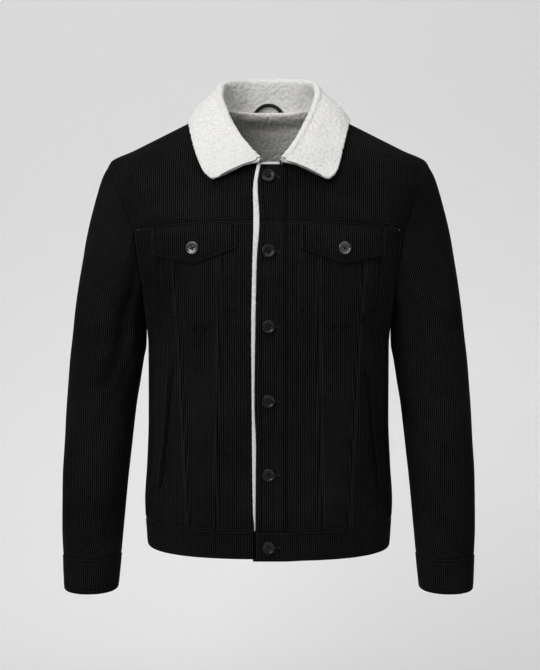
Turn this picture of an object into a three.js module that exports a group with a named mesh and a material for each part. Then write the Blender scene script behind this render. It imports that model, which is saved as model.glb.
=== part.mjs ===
// A fleece lined corduroy jacket, empty but filled out as it hangs on a wearer.
// Millimetres, +Z up, the front faces -Y, and +X is the wearer's left.
// The origin is the middle of the neck opening, level with the top of the shoulder seams.
// Every panel is a thin wall between seams on one smooth body or on one of the two sleeves.
import * as THREE from "three";

// Driving sizes
const SEAM_GAP = 0.3; // between two pieces that are sewn together
const CLOTH = 2.5; // corduroy with the lining bonded behind it
const BAND_CLOTH = 3; // folded cuff and flap cloth
const FLEECE = 5; // collar fleece, two layers back to back
const LINING = 3.5; // loose lining behind the neck
const OVERLAP_LIFT = 0.6; // the left front lies this far above the right front

const SHOULDER_TIP_X = 231;
const SHOULDER_TIP_Z = -77;
const NECK_HALF_WIDTH = 75;
const NECK_DROP = 80; // how far the front neckline lies below the shoulder seam
const BACK_NECK_DROP = 5;
const YOKE_ARMHOLE_Z = -177;
const ARMHOLE_TURN_Z = -240; // where the armhole starts to turn under the arm
const UNDERARM_Z = -300;
const HEM_SEAM_Z = -598;
const HEM_Z = -641;
const CUFF_SEAM_Z = -650;
const CUFF_Z = -702;

const LEFT_FRONT_EDGE = 19; // the left front starts here, under its placket
const RIGHT_FRONT_EDGE = -18; // the right front reaches this far past the middle
const PLACKET_SEAM = 24.5;
const PLACKET_TOP_Z = -87;

const BUTTON_RADIUS = 9.3;
const BUTTON_THICK = 3.6;
const BUTTON_STAND = 0.4; // sewn down close to the cloth
const FRONT_BUTTON_HEIGHTS = [-102, -205, -309, -413, -517, -620];

// Horizontal sections of the body: half width, depth to the front and back, corner roundness.
const BODY = [
  { z: 0, wide: 75, front: 30, back: 73, round: 2.2 },
  { z: -20, wide: 116, front: 44, back: 86, round: 2.2 },
  { z: -40, wide: 156, front: 62, back: 95, round: 2.2 },
  { z: -60, wide: 196, front: 76, back: 102, round: 2.2 },
  { z: SHOULDER_TIP_Z, wide: SHOULDER_TIP_X, front: 85, back: 107, round: 2.2 },
  { z: -90, wide: 236, front: 92, back: 110, round: 2.2 },
  { z: -107, wide: 238.5, front: 99, back: 114, round: 2.25 },
  { z: -144, wide: 227, front: 111, back: 120, round: 2.3 },
  { z: -177, wide: 215, front: 119, back: 123, round: 2.35 },
  { z: -226, wide: 201, front: 126, back: 123, round: 2.4 },
  { z: -260, wide: 190.5, front: 129, back: 121, round: 2.45 },
  { z: -300, wide: 182, front: 130, back: 118, round: 2.5 },
  { z: -345, wide: 177, front: 130, back: 114, round: 2.5 },
  { z: -450, wide: 177, front: 129, back: 107, round: 2.5 },
  { z: -520, wide: 180, front: 129, back: 107, round: 2.5 },
  { z: -575, wide: 183.5, front: 130, back: 110, round: 2.5 },
  { z: -598, wide: 182.5, front: 129, back: 109, round: 2.5 },
  { z: -641, wide: 180, front: 127, back: 107, round: 2.5 },
];

// Sections of a sleeve: inner and outer edge seen from the front, half depth, how far it swings ahead.
const SLEEVE = [
  { z: SHOULDER_TIP_Z, inner: 150, outer: SHOULDER_TIP_X, deep: 52, ahead: 0 },
  { z: -99, inner: 152, outer: 243.5, deep: 58, ahead: 0 },
  { z: -126, inner: 155, outer: 252.3, deep: 63, ahead: 0 },
  { z: -185, inner: 162, outer: 267, deep: 71, ahead: 0 },
  { z: -220, inner: 166, outer: 273, deep: 74, ahead: 0 },
  { z: -256, inner: 173, outer: 279, deep: 75, ahead: 0 },
  { z: -300, inner: 182.6, outer: 285, deep: 74, ahead: 0 },
  { z: -327, inner: 181.6, outer: 288, deep: 72, ahead: 1 },
  { z: -347, inner: 182.2, outer: 290.5, deep: 71, ahead: 2 },
  { z: -365, inner: 185.5, outer: 292.5, deep: 70, ahead: 4 },
  { z: -398, inner: 190.5, outer: 295.3, deep: 67, ahead: 6 },
  { z: -433, inner: 196, outer: 298, deep: 65, ahead: 9 },
  { z: -487, inner: 202, outer: 301, deep: 60, ahead: 13 },
  { z: -540, inner: 208, outer: 304, deep: 56, ahead: 18 },
  { z: -611, inner: 214.5, outer: 304.5, deep: 51, ahead: 25 },
  { z: -650, inner: 218, outer: 303, deep: 47, ahead: 29 },
  { z: -702, inner: 223, outer: 301, deep: 44, ahead: 34 },
];
const SLEEVE_ROUND = 2.1;
const CUFF_CALM = 30; // a sleeve's folds die away this far above the cuff
const SLEEVE_RADIUS = 62; // turns degrees round the sleeve into millimetres across a fold

// The armhole seam of the front, down to the yoke seam, and the whole of the back's.
const FRONT_ARMHOLE = [
  { z: SHOULDER_TIP_Z, x: SHOULDER_TIP_X },
  { z: -107, x: 219.7 },
  { z: -144, x: 205 },
  { z: -177, x: 193 },
];
const BACK_ARMHOLE = [
  { z: SHOULDER_TIP_Z, x: SHOULDER_TIP_X },
  { z: -107, x: 217 },
  { z: -144, x: 205 },
  { z: -177, x: 198 },
];

const FOLD_FADE = 25; // folds die away this far before the side seams
// Largest folds: middle, half length and half width along and across the fold, its lean, its height.
const BODY_FOLDS = [
  { front: true, s: -200, z: -420, long: 120, wide: 16, lean: 0.1, high: 2.6 },
  { front: true, s: 196, z: -400, long: 110, wide: 15, lean: -0.12, high: 2.8 },
  { front: true, s: 178, z: -520, long: 50, wide: 12, lean: -0.5, high: 2 },
  { front: true, s: -182, z: -530, long: 46, wide: 12, lean: 0.55, high: 2.2 },
  { front: true, s: -45, z: -560, long: 55, wide: 14, lean: 0.35, high: -2 },
  { front: true, s: 150, z: -130, long: 60, wide: 16, lean: 0.9, high: -2 },
  { front: false, s: -120, z: -430, long: 130, wide: 22, lean: 0.15, high: 3 },
  { front: false, s: 105, z: -450, long: 120, wide: 20, lean: -0.18, high: 3 },
  { front: false, s: 10, z: -500, long: 110, wide: 26, lean: 0.05, high: -2.5 },
  { front: false, s: -170, z: -220, long: 70, wide: 16, lean: 0.4, high: -2.5 },
  { front: false, s: 172, z: -225, long: 70, wide: 16, lean: -0.4, high: -2.5 },
];
// On a sleeve the place across is the turn in degrees from its outer edge, through the front.
const SLEEVE_FOLDS = [
  { turn: 118, z: -300, long: 120, wide: 15, lean: 0.1, high: -6 },
  { turn: 92, z: -330, long: 100, wide: 14, lean: 0.08, high: 3.5 },
  { turn: 105, z: -455, long: 60, wide: 13, lean: 0.55, high: -3.5 },
  { turn: 150, z: -430, long: 50, wide: 14, lean: -0.6, high: -3 },
  { turn: 60, z: -520, long: 60, wide: 14, lean: 0.35, high: -2.5 },
  { turn: 130, z: -590, long: 40, wide: 12, lean: 0.7, high: -2.5 },
  { turn: 250, z: -310, long: 100, wide: 15, lean: -0.12, high: -5 },
  { turn: 275, z: -470, long: 60, wide: 14, lean: 0.5, high: -3.5 },
  { turn: 300, z: -560, long: 60, wide: 14, lean: -0.4, high: -2.5 },
  { turn: 230, z: -610, long: 40, wide: 12, lean: 0.6, high: -2.5 },
];

// Half of the collar from its front end to the middle of the back. Seat is the x where it meets the
// neckline, roll is the fold line, and edge is where the free edge lies over the body.
const COLLAR = [
  { back: false, seat: 15, rollX: 17.5, rollY: -99, rollZ: -78, edgeX: 78, edgeZ: -108, off: 8 },
  { back: false, seat: 27, rollX: 31, rollY: -94, rollZ: -63, edgeX: 90.5, edgeZ: -96.5, off: 7 },
  { back: false, seat: 40, rollX: 44, rollY: -80, rollZ: -45, edgeX: 98.5, edgeZ: -77.5, off: 6 },
  { back: false, seat: 54, rollX: 56.5, rollY: -60, rollZ: -22, edgeX: 105, edgeZ: -57, off: 5.5 },
  { back: false, seat: 66, rollX: 66, rollY: -35, rollZ: 1, edgeX: 110.5, edgeZ: -36, off: 5 },
  { back: false, seat: 75, rollX: 72, rollY: -6, rollZ: 22, edgeX: 114, edgeZ: -19.3, off: 5 },
  { back: true, seat: 67, rollX: 69, rollY: 24, rollZ: 36, edgeX: 102, edgeZ: -17, off: 6 },
  { back: true, seat: 50, rollX: 54, rollY: 52, rollZ: 43, edgeX: 82, edgeZ: -14, off: 8 },
  { back: true, seat: 27, rollX: 29, rollY: 70, rollZ: 46, edgeX: 46, edgeZ: -11, off: 9 },
  { back: true, seat: 0, rollX: 0, rollY: 76, rollZ: 46.5, edgeX: 0, edgeZ: -9, off: 9 },
];
const COLLAR_ROLL_RADIUS = 3.5;
const COLLAR_FOOT = 2.4; // from the neckline to the middle of the collar's lower edge
const COLLAR_SEAT = -0.8; // the lower edge stands on the cloth, this far below its outer face
const COLLAR_END_SHIFT = 3; // both front ends sit this far towards the wearer's left

// Chest pocket flap: inner side, point and outer side.
const FLAP = [
  { s: 44.3, bottom: -201 },
  { s: 105.5, bottom: -222.5 },
  { s: 169.5, bottom: -210.5 },
];
const FLAP_STAND = 1.4; // how far the flap stands off the panel behind it
const FLAP_SEAM = { lift: 1.8, thick: 1.2, deep: 14 }; // where it is sewn in under the yoke
const FLAP_BUTTON = { s: 105.5, z: -201 };
const SIDE_POCKET = { topS: 148, topZ: -380, endS: 167, endZ: -544, wide: 9, lift: 2.8, thick: 2 };

// The placket's front edge drifts a little as it goes down. The strip of lining shows from there out to
// its own edge, and above the placket's top.
const PLACKET_EDGE = [
  { z: -87, s: -11.5 },
  { z: -110, s: -15.2 },
  { z: -165, s: -12.5 },
  { z: -215, s: -16 },
  { z: -330, s: -18.5 },
  { z: -415, s: -19.5 },
  { z: -480, s: -17.5 },
  { z: -598, s: -18.5 },
];
const FACING_EDGE = [
  { z: -87, s: -16.5 },
  { z: -100, s: -19.2 },
  { z: -120, s: -21.5 },
  { z: -160, s: -20.8 },
  { z: -230, s: -22.4 },
  { z: -310, s: -23.7 },
  { z: -450, s: -23 },
  { z: -598, s: -21.4 },
];
const FACING = { above: 2.8, thin: 0.4, endS: 15.5, corner: 0.94, taper: 25 };

// Materials
const paint = (color, roughness) => new THREE.MeshStandardMaterial({ color, roughness, metalness: 0 });
const corduroy = paint(0x141417, 0.9);
const fleece = paint(0xe9e7e2, 1);
const tape = paint(0x101012, 0.6);
const buttonFace = paint(0x1b1b1e, 0.3);
const flapButtonFace = paint(0x55565a, 0.2);

// A smooth curve through rows[].at(key) giving column, with no overshoot between rows.
function smoothCurve(rows, key, column) {
  const points = rows.map((r) => [r[key], r[column]]).sort((a, b) => a[0] - b[0]);
  const steps = points.slice(1).map((p, i) => (p[1] - points[i][1]) / (p[0] - points[i][0]));
  const slopes = points.map((p, i) => {
    if (i === 0) return steps[0];
    if (i === points.length - 1) return steps[i - 1];
    const [before, after] = [steps[i - 1], steps[i]];
    return before * after <= 0 ? 0 : (2 * before * after) / (before + after);
  });
  return (at) => {
    const last = points.length - 1;
    if (at <= points[0][0]) return points[0][1];
    if (at >= points[last][0]) return points[last][1];
    const i = points.findIndex((p) => p[0] > at) - 1;
    const span = points[i + 1][0] - points[i][0];
    const t = (at - points[i][0]) / span;
    const start = (1 + 2 * t) * (1 - t) * (1 - t) * points[i][1];
    const leave = t * (1 - t) * (1 - t) * span * slopes[i];
    const end = t * t * (3 - 2 * t) * points[i + 1][1];
    const arrive = t * t * (t - 1) * span * slopes[i + 1];
    return start + leave + end + arrive;
  };
}

const mix = (a, b, t) => a + (b - a) * t;
const clamp = (v, low, high) => Math.min(high, Math.max(low, v));
const ease = (t) => t * t * (3 - 2 * t);
const evenly = (count) => Array.from({ length: count + 1 }, (_, i) => i / count);

const bodyWide = smoothCurve(BODY, "z", "wide");
const bodyFront = smoothCurve(BODY, "z", "front");
const bodyBack = smoothCurve(BODY, "z", "back");
const bodyRound = smoothCurve(BODY, "z", "round");

// A quarter of the body's section at a height, from the middle to the side, with the length along it.
const QUARTER_STEPS = 60;
const quarters = new Map();
function quarter(front, z) {
  const name = (front ? "f" : "b") + z.toFixed(3);
  if (quarters.has(name)) return quarters.get(name);
  const [wide, deep, power] = [bodyWide(z), front ? -bodyFront(z) : bodyBack(z), 2 / bodyRound(z)];
  const made = evenly(QUARTER_STEPS).map((t) => ({
    x: wide * Math.sin((t * Math.PI) / 2) ** power,
    y: deep * Math.max(0, Math.cos((t * Math.PI) / 2)) ** power,
    s: 0,
  }));
  for (let i = 1; i < made.length; i++)
    made[i].s = made[i - 1].s + Math.hypot(made[i].x - made[i - 1].x, made[i].y - made[i - 1].y);
  quarters.set(name, made);
  return made;
}
const girth = (front, z) => quarter(front, z)[QUARTER_STEPS].s;

// The length along the section from the middle to a given x.
function reachOf(front, x, z) {
  const line = quarter(front, z);
  const i = clamp(line.findIndex((p) => p.x >= x), 1, QUARTER_STEPS);
  const t = (x - line[i - 1].x) / (line[i].x - line[i - 1].x || 1);
  return mix(line[i - 1].s, line[i].s, clamp(t, 0, 1));
}

// Soft troughs and ridges at a place across and down a surface.
function foldHeight(folds, across, z, acrossOf) {
  return folds.reduce((sum, fold) => {
    const [dx, dz] = [across - acrossOf(fold), z - fold.z];
    const [along, aside] = [dz + fold.lean * dx, dx - fold.lean * dz];
    return sum + fold.high * Math.exp(-((along / fold.long) ** 2) - (aside / fold.wide) ** 2);
  }, 0);
}

// A point on the body's outer surface: s is the length round from the middle of that face.
function bodyShell(front, s, z) {
  const line = quarter(front, z);
  const reach = clamp(Math.abs(s), 0, line[QUARTER_STEPS].s);
  const i = clamp(line.findIndex((p) => p.s >= reach), 1, QUARTER_STEPS);
  const t = (reach - line[i - 1].s) / (line[i].s - line[i - 1].s || 1);
  const side = s < 0 ? -1 : 1;
  const [x, y] = [mix(line[i - 1].x, line[i].x, t), mix(line[i - 1].y, line[i].y, t)];
  const [dx, dy] = [line[i].x - line[i - 1].x, line[i].y - line[i - 1].y];
  const turn = front ? 1 : -1;
  const fade = ease(clamp((girth(front, z) - reach) / FOLD_FADE, 0, 1));
  const fold = fade * foldHeight(BODY_FOLDS.filter((f) => f.front === front), s, z, (f) => f.s);
  const step = Math.hypot(dx, dy) || 1;
  return new THREE.Vector3(side * (x + (turn * dy * fold) / step), y - (turn * dx * fold) / step, z);
}

const NORMAL_STEP = 1.5;
// The outward direction, from the surface's own slopes on both sides of a place.
function bodyNormal(front, s, z) {
  const step = NORMAL_STEP;
  const along = bodyShell(front, s + step, z).sub(bodyShell(front, s - step, z));
  const down = bodyShell(front, s, Math.min(z + step, 0)).sub(bodyShell(front, s, z - step));
  const normal = along.cross(down).normalize();
  return front ? normal : normal.negate();
}
const onBody = (front, s, z, lift) => bodyShell(front, s, z).addScaledVector(bodyNormal(front, s, z), lift);

// Seams, as a height or as a length from the middle
function neckline(front, x) {
  const share = Math.min(1, (x / NECK_HALF_WIDTH) ** 2);
  return front ? -NECK_DROP * Math.sqrt(1 - share) : -BACK_NECK_DROP * (1 - share);
}
const yokeSeam = (s) => -164.5 - 12.5 * (s / 211) ** 2;
const innerSeam = (z) => mix(70, 79, (z + 165) / (HEM_SEAM_Z + 165));
const outerSeam = (z) => mix(144, 118, (z + 165) / (HEM_SEAM_Z + 165));

const armholeX = {
  front: smoothCurve(FRONT_ARMHOLE, "z", "x"),
  back: smoothCurve(BACK_ARMHOLE, "z", "x"),
};
const armholeStraight = {
  front: reachOf(true, armholeX.front(YOKE_ARMHOLE_Z), YOKE_ARMHOLE_Z),
  back: reachOf(false, armholeX.back(YOKE_ARMHOLE_Z), YOKE_ARMHOLE_Z),
};

// The panels' outer limit at a height: the armhole, and the side seam below it.
function panelLimit(front, z) {
  const face = front ? "front" : "back";
  if (z >= YOKE_ARMHOLE_Z) return reachOf(front, armholeX[face](z), z);
  if (z <= UNDERARM_Z) return girth(front, z);
  if (z >= ARMHOLE_TURN_Z) return armholeStraight[face];
  const turn = Math.min(1, (ARMHOLE_TURN_Z - z) / (ARMHOLE_TURN_Z - UNDERARM_Z));
  return mix(armholeStraight[face], girth(front, UNDERARM_Z), 1 - Math.sqrt(1 - turn * turn));
}

// Heights of the rows down the armhole and the side seam, shared by the front and the back.
const turnRows = [0.28, 0.52, 0.73, 0.88, 1].map((share) => {
  const angle = (share * Math.PI) / 2;
  return ARMHOLE_TURN_Z + (UNDERARM_Z - ARMHOLE_TURN_Z) * Math.sin(angle);
});
const CAP_ROWS = [SHOULDER_TIP_Z, -83, -93, -108, -129, -152];
const ARMHOLE_ROWS = [YOKE_ARMHOLE_Z, -198, -219, ARMHOLE_TURN_Z, ...turnRows];
const SIDE_ROWS = [-328, -360, -395, -432, -470, -508, -540, -568, HEM_SEAM_Z];

// Shares of the way down for a list of rows; away from the armhole they spread out evenly.
function rowShares(rows) {
  const [top, bottom] = [rows[0], rows.at(-1)];
  return rows.map((z, i) => ({ edge: (z - top) / (bottom - top), even: i / (rows.length - 1) }));
}

// A closed wall from two grids of points, rows down and columns across.
function wallGeometry(outer, inner, ring = false) {
  const [rows, columns] = [outer.length, outer[0].length];
  const positions = [...outer.flat(), ...inner.flat()].flatMap((p) => [p.x, p.y, p.z]);
  const at = (layer, r, c) => layer * rows * columns + r * columns + (c % columns);
  const faces = [];
  const quad = (a, b, c, d, turned) => faces.push(...(turned ? [b, c, d, b, d, a] : [a, b, c, a, c, d]));
  const lastColumn = ring ? columns : columns - 1;
  for (let r = 0; r < rows - 1; r++)
    for (let c = 0; c < lastColumn; c++) {
      const [next, row, below] = [(c + 1) % columns, outer[r], outer[r + 1]];
      const turned = row[next].distanceTo(below[c]) < row[c].distanceTo(below[next]);
      quad(at(0, r, c), at(0, r + 1, c), at(0, r + 1, c + 1), at(0, r, c + 1), turned);
      quad(at(1, r, c), at(1, r, c + 1), at(1, r + 1, c + 1), at(1, r + 1, c), turned);
    }
  for (let c = 0; c < lastColumn; c++) {
    quad(at(0, 0, c), at(0, 0, c + 1), at(1, 0, c + 1), at(1, 0, c));
    quad(at(0, rows - 1, c), at(1, rows - 1, c), at(1, rows - 1, c + 1), at(0, rows - 1, c + 1));
  }
  for (let r = 0; r < rows - 1 && !ring; r++) {
    quad(at(0, r, 0), at(1, r, 0), at(1, r + 1, 0), at(0, r + 1, 0));
    quad(at(0, r, columns - 1), at(0, r + 1, columns - 1), at(1, r + 1, columns - 1), at(1, r, columns - 1));
  }
  const point = (i) => new THREE.Vector3().fromArray(positions, 3 * i);
  let volume = 0;
  for (let i = 0; i < faces.length; i += 3)
    volume += point(faces[i]).dot(point(faces[i + 1]).cross(point(faces[i + 2])));
  if (volume < 0)
    for (let i = 0; i < faces.length; i += 3) [faces[i + 1], faces[i + 2]] = [faces[i + 2], faces[i + 1]];
  const geometry = new THREE.BufferGeometry();
  geometry.setAttribute("position", new THREE.Float32BufferAttribute(positions, 3));
  geometry.setIndex(faces);
  geometry.computeVertexNormals();
  return geometry;
}

const jacket = new THREE.Group();
function add(name, geometry, material) {
  const mesh = new THREE.Mesh(geometry, material);
  mesh.name = name;
  jacket.add(mesh);
  return mesh;
}

// A wall on the body, from a function that gives the face, s, z, lift and thickness of each place.
function bodyWall(rows, columns, place, thick) {
  const layer = (share) =>
    rows.map((v) =>
      columns.map((u) => {
        const p = place(u, v);
        return onBody(p.front, p.s, p.z, (p.lift || 0) - share * (p.thick || thick));
      }),
    );
  return { outer: layer(0), inner: layer(1) };
}
// The points down one side of a wall, each with its neighbour further in
const edgeOf = (wall, column) =>
  wall.outer.map((row) => ({ outer: row.at(column), beside: row.at(column === 0 ? 1 : -2) }));

// Front neckline and shoulder seam, as a place on the front at a share of the way along.
const frontStart = (side) => (side > 0 ? LEFT_FRONT_EDGE : RIGHT_FRONT_EDGE);
const NECK_COLUMNS = 0.4; // share of the yoke's columns that end at the neckline
function frontTop(side, share) {
  if (share >= NECK_COLUMNS) {
    const z = mix(0, SHOULDER_TIP_Z, (share - NECK_COLUMNS) / (1 - NECK_COLUMNS));
    return { s: girth(true, z) - SEAM_GAP / 2, z };
  }
  const x = mix(frontStart(side), NECK_HALF_WIDTH, Math.sin(((share / NECK_COLUMNS) * Math.PI) / 2));
  const z = neckline(true, x);
  return { s: Math.sign(x) * reachOf(true, Math.abs(x), z), z };
}
// Half a seam gap off the first and last row
const rowTrim = (row) => (row.even === 0 ? -SEAM_GAP / 2 : row.even === 1 ? SEAM_GAP / 2 : 0);

// Shoulder yoke of one front
const YOKE_COLUMNS = 15;
function yoke(side) {
  const start = frontStart(side);
  const place = (u, row) => {
    const v = mix(row.even, row.edge, u ** 3);
    const top = frontTop(side, u);
    const bottomS = mix(start, panelLimit(true, YOKE_ARMHOLE_Z), u);
    const z = mix(top.z, u === 1 ? YOKE_ARMHOLE_Z : yokeSeam(bottomS), v);
    const armhole = panelLimit(true, clamp(z, YOKE_ARMHOLE_Z, SHOULDER_TIP_Z));
    const s = v === 0 ? top.s : mix(mix(top.s, bottomS, v), armhole, u ** 6);
    return { front: true, s: side * s, z: z + rowTrim(row) };
  };
  return bodyWall(rowShares([...CAP_ROWS, YOKE_ARMHOLE_Z]), evenly(YOKE_COLUMNS), place, CLOTH);
}

// Front panels below the yoke, between two seams that lean
function frontPanel(side, columns, left, right) {
  const place = (u, row) => {
    const v = right === armholeSide ? mix(row.even, row.edge, u ** 3) : row.even;
    const edgeZ = mix(YOKE_ARMHOLE_Z, HEM_SEAM_Z, row.edge);
    const topS = mix(left(YOKE_ARMHOLE_Z), right(YOKE_ARMHOLE_Z), u);
    const z = mix(u === 1 && right === armholeSide ? YOKE_ARMHOLE_Z : yokeSeam(topS), HEM_SEAM_Z, v);
    const s = mix(left(z), right(right === armholeSide ? edgeZ : z), u);
    const inset = u === 0 ? SEAM_GAP / 2 : u === 1 ? -SEAM_GAP / 2 : 0;
    return { front: true, s: side * (s + inset), z: z + rowTrim(row) };
  };
  return bodyWall(rowShares([...ARMHOLE_ROWS, ...SIDE_ROWS]), evenly(columns), place, CLOTH);
}
const armholeSide = (z) => panelLimit(true, z);

// The back, in one piece from the shoulder seams to the hem band
const BACK_ROWS = rowShares([...CAP_ROWS, ...ARMHOLE_ROWS, ...SIDE_ROWS]);
const NECK_SHARE = girth(false, 0) / girth(false, SHOULDER_TIP_Z);
const neckColumns = evenly(4).map((t) => t * NECK_SHARE);
const shoulderColumns = evenly(7).slice(1).map((t) => mix(NECK_SHARE, 1, t));
const backHalf = [...neckColumns, ...shoulderColumns];
const BACK_COLUMNS = [...backHalf.slice(1).reverse().map((u) => -u), ...backHalf];
const ridgeRows = [0, -15, -30, -45, -60, SHOULDER_TIP_Z].map((z) => ({ z, s: girth(false, z) }));
const shoulderRidge = smoothCurve(ridgeRows, "s", "z");
function backPlace(u, row) {
  const reach = Math.abs(u);
  const v = mix(row.even, row.edge, reach ** 3);
  const atNeck = neckline(false, (NECK_HALF_WIDTH * reach) / NECK_SHARE);
  const top = reach <= NECK_SHARE ? atNeck : shoulderRidge(reach * girth(false, SHOULDER_TIP_Z));
  const z = mix(top, HEM_SEAM_Z, v);
  const limit = panelLimit(false, mix(SHOULDER_TIP_Z, HEM_SEAM_Z, row.edge));
  const inset = reach === 1 ? SEAM_GAP / 2 : 0;
  const s = Math.min(reach * limit, girth(false, Math.min(z, 0))) - inset;
  return { front: false, s: Math.sign(u) * s, z: Math.min(z + rowTrim(row), -SEAM_GAP / 2) };
}

const SIDES = { left: 1, right: -1 };
const addWall = (name, wall, material, ring) =>
  add(name, wallGeometry(wall.outer, wall.inner, ring), material);
const back = bodyWall(BACK_ROWS, BACK_COLUMNS, backPlace, CLOTH);
addWall("back", back, corduroy);
const [yokes, sideFronts] = [{}, {}];
for (const [name, side] of Object.entries(SIDES)) {
  yokes[side] = yoke(side);
  sideFronts[side] = frontPanel(side, 6, outerSeam, armholeSide);
  addWall("yoke_" + name, yokes[side], corduroy);
  addWall("front_" + name, frontPanel(side, side > 0 ? 3 : 4, () => frontStart(side), innerSeam), corduroy);
  addWall("front_middle_" + name, frontPanel(side, 3, innerSeam, outerSeam), corduroy);
  addWall("front_side_" + name, sideFronts[side], corduroy);
}

// Placket on the left front, and the strip of lining that shows past its edge
const placketEdge = smoothCurve(PLACKET_EDGE, "z", "s");
const facingEdge = smoothCurve(FACING_EDGE, "z", "s");
const PLACKET_LIFT = OVERLAP_LIFT + CLOTH;
const STRIP_ROWS = 20;
function placket() {
  const place = (u, v) => {
    const z = mix(PLACKET_TOP_Z, HEM_SEAM_Z + SEAM_GAP / 2, v);
    return { front: true, s: mix(placketEdge(z), PLACKET_SEAM, u), z, lift: PLACKET_LIFT };
  };
  return bodyWall(evenly(STRIP_ROWS), evenly(3), place, CLOTH);
}
// The strip runs up the edge, then turns and runs along the placket's top.
function facing() {
  const { corner, taper } = FACING;
  const lift = PLACKET_LIFT - FACING.thin;
  const upward = evenly(STRIP_ROWS).map((t) => t * corner);
  const place = (u, v) => {
    const across = clamp((v - corner) / (1 - corner), 0, 1);
    const z = mix(HEM_SEAM_Z + 2, PLACKET_TOP_Z, Math.min(1, v / corner));
    const edge = placketEdge(z) - SEAM_GAP;
    const wide = Math.max(1, Math.min(1, (z - HEM_SEAM_Z) / taper) * (edge - facingEdge(z)));
    const turned = ease(clamp(across * 3, 0, 1));
    const cut = { s: mix(edge, FACING.endS, across), z: z + (across > 0 ? SEAM_GAP : 0) };
    const out = { s: mix(edge - wide, cut.s, turned), z: cut.z + FACING.above * turned };
    return { front: true, s: mix(cut.s, out.s, u), z: mix(cut.z, out.z, u), lift };
  };
  const rows = [...upward, corner + 0.015, corner + 0.03, 1];
  return bodyWall(rows, evenly(2), place, CLOTH - FACING.thin);
}
addWall("placket_left", placket(), corduroy);
addWall("facing_left", facing(), fleece);

// Pocket flaps and side pocket welts lie on the panels, moved out from their surface.
const flapBottom = (s) => {
  const [inner, point, outer] = FLAP;
  const [a, b] = s < point.s ? [inner, point] : [point, outer];
  return mix(a.bottom, b.bottom, (s - a.s) / (b.s - a.s));
};
// The flap is thin where it is sewn in under the yoke, and stands off the pocket towards its point.
const flapFullness = (s, z) => ease(clamp((yokeSeam(s) - z) / FLAP_SEAM.deep, 0, 1));
const flapLift = (s, z) => mix(FLAP_SEAM.lift, FLAP_STAND + BAND_CLOTH, flapFullness(s, z));
function flap(side) {
  const place = (u, v) => {
    const s = u < 0.5 ? mix(FLAP[0].s, FLAP[1].s, u * 2) : mix(FLAP[1].s, FLAP[2].s, u * 2 - 1);
    const z = mix(yokeSeam(s) - SEAM_GAP, flapBottom(s), v);
    const thick = mix(FLAP_SEAM.thick, BAND_CLOTH, flapFullness(s, z));
    return { front: true, s: side * s, z, lift: flapLift(s, z), thick };
  };
  return bodyWall([0, 0.15, 0.3, 0.65, 1], evenly(8), place, BAND_CLOTH);
}
function welt(side) {
  const { topS, topZ, endS, endZ, wide, lift, thick } = SIDE_POCKET;
  const place = (u, v) => {
    const rounding = Math.min(1, Math.min(v, 1 - v) * 8 + 0.5);
    const s = mix(topS, endS, v ** 1.3) + (u - 0.5) * wide * rounding;
    return { front: true, s: side * s, z: mix(topZ, endZ, v), lift };
  };
  return bodyWall(evenly(8), evenly(2), place, thick);
}
for (const [name, side] of Object.entries(SIDES)) {
  addWall("pocket_flap_" + name, flap(side), corduroy);
  addWall("side_pocket_welt_" + name, welt(side), corduroy);
}

// Hem band: one strip from the left front, round the back, to the right front under it
const BAND_LEFT_END = -22;
const BAND_UNDER_RISE = 2.5; // the under end is cut this much shorter
const BAND_LAP_COLUMNS = [0, 18, 40, 58, 80]; // lengths from the left end, closer over the lap
const BAND_ROUND_START = 105;
const BAND_LAST = 24; // length of the last stretch
const BAND_LAP_FADE = 25; // past the placket the band comes down to the panels over this length
function hemBand() {
  const [frontLength, backLength] = [girth(true, HEM_Z), girth(false, HEM_Z)];
  const rightFront = frontLength + 2 * backLength;
  const total = rightFront + frontLength - BAND_LEFT_END - RIGHT_FRONT_EDGE;
  const place = (u, v) => {
    const z = mix(HEM_SEAM_Z - SEAM_GAP / 2, HEM_Z, v);
    const way = u * total + BAND_LEFT_END;
    const lift = PLACKET_LIFT * (1 - ease(clamp((way - PLACKET_SEAM) / BAND_LAP_FADE, 0, 1)));
    const frontScale = girth(true, z) / frontLength;
    const backScale = girth(false, z) / backLength;
    if (way <= frontLength) return { front: true, s: way * frontScale, z, lift };
    if (way <= rightFront) return { front: false, s: (frontLength + backLength - way) * backScale, z };
    const underZ = z + BAND_UNDER_RISE * ease(v);
    return { front: true, s: (way - rightFront - frontLength) * frontScale, z: underZ };
  };
  const lapColumns = BAND_LAP_COLUMNS.map((way) => way / total);
  const roundColumns = evenly(34).map((t) => mix(BAND_ROUND_START / total, 1 - BAND_LAST / total, t));
  return bodyWall(evenly(2), [...lapColumns, ...roundColumns, 1], place, CLOTH);
}
addWall("hem_band", hemBand(), corduroy);

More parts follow.
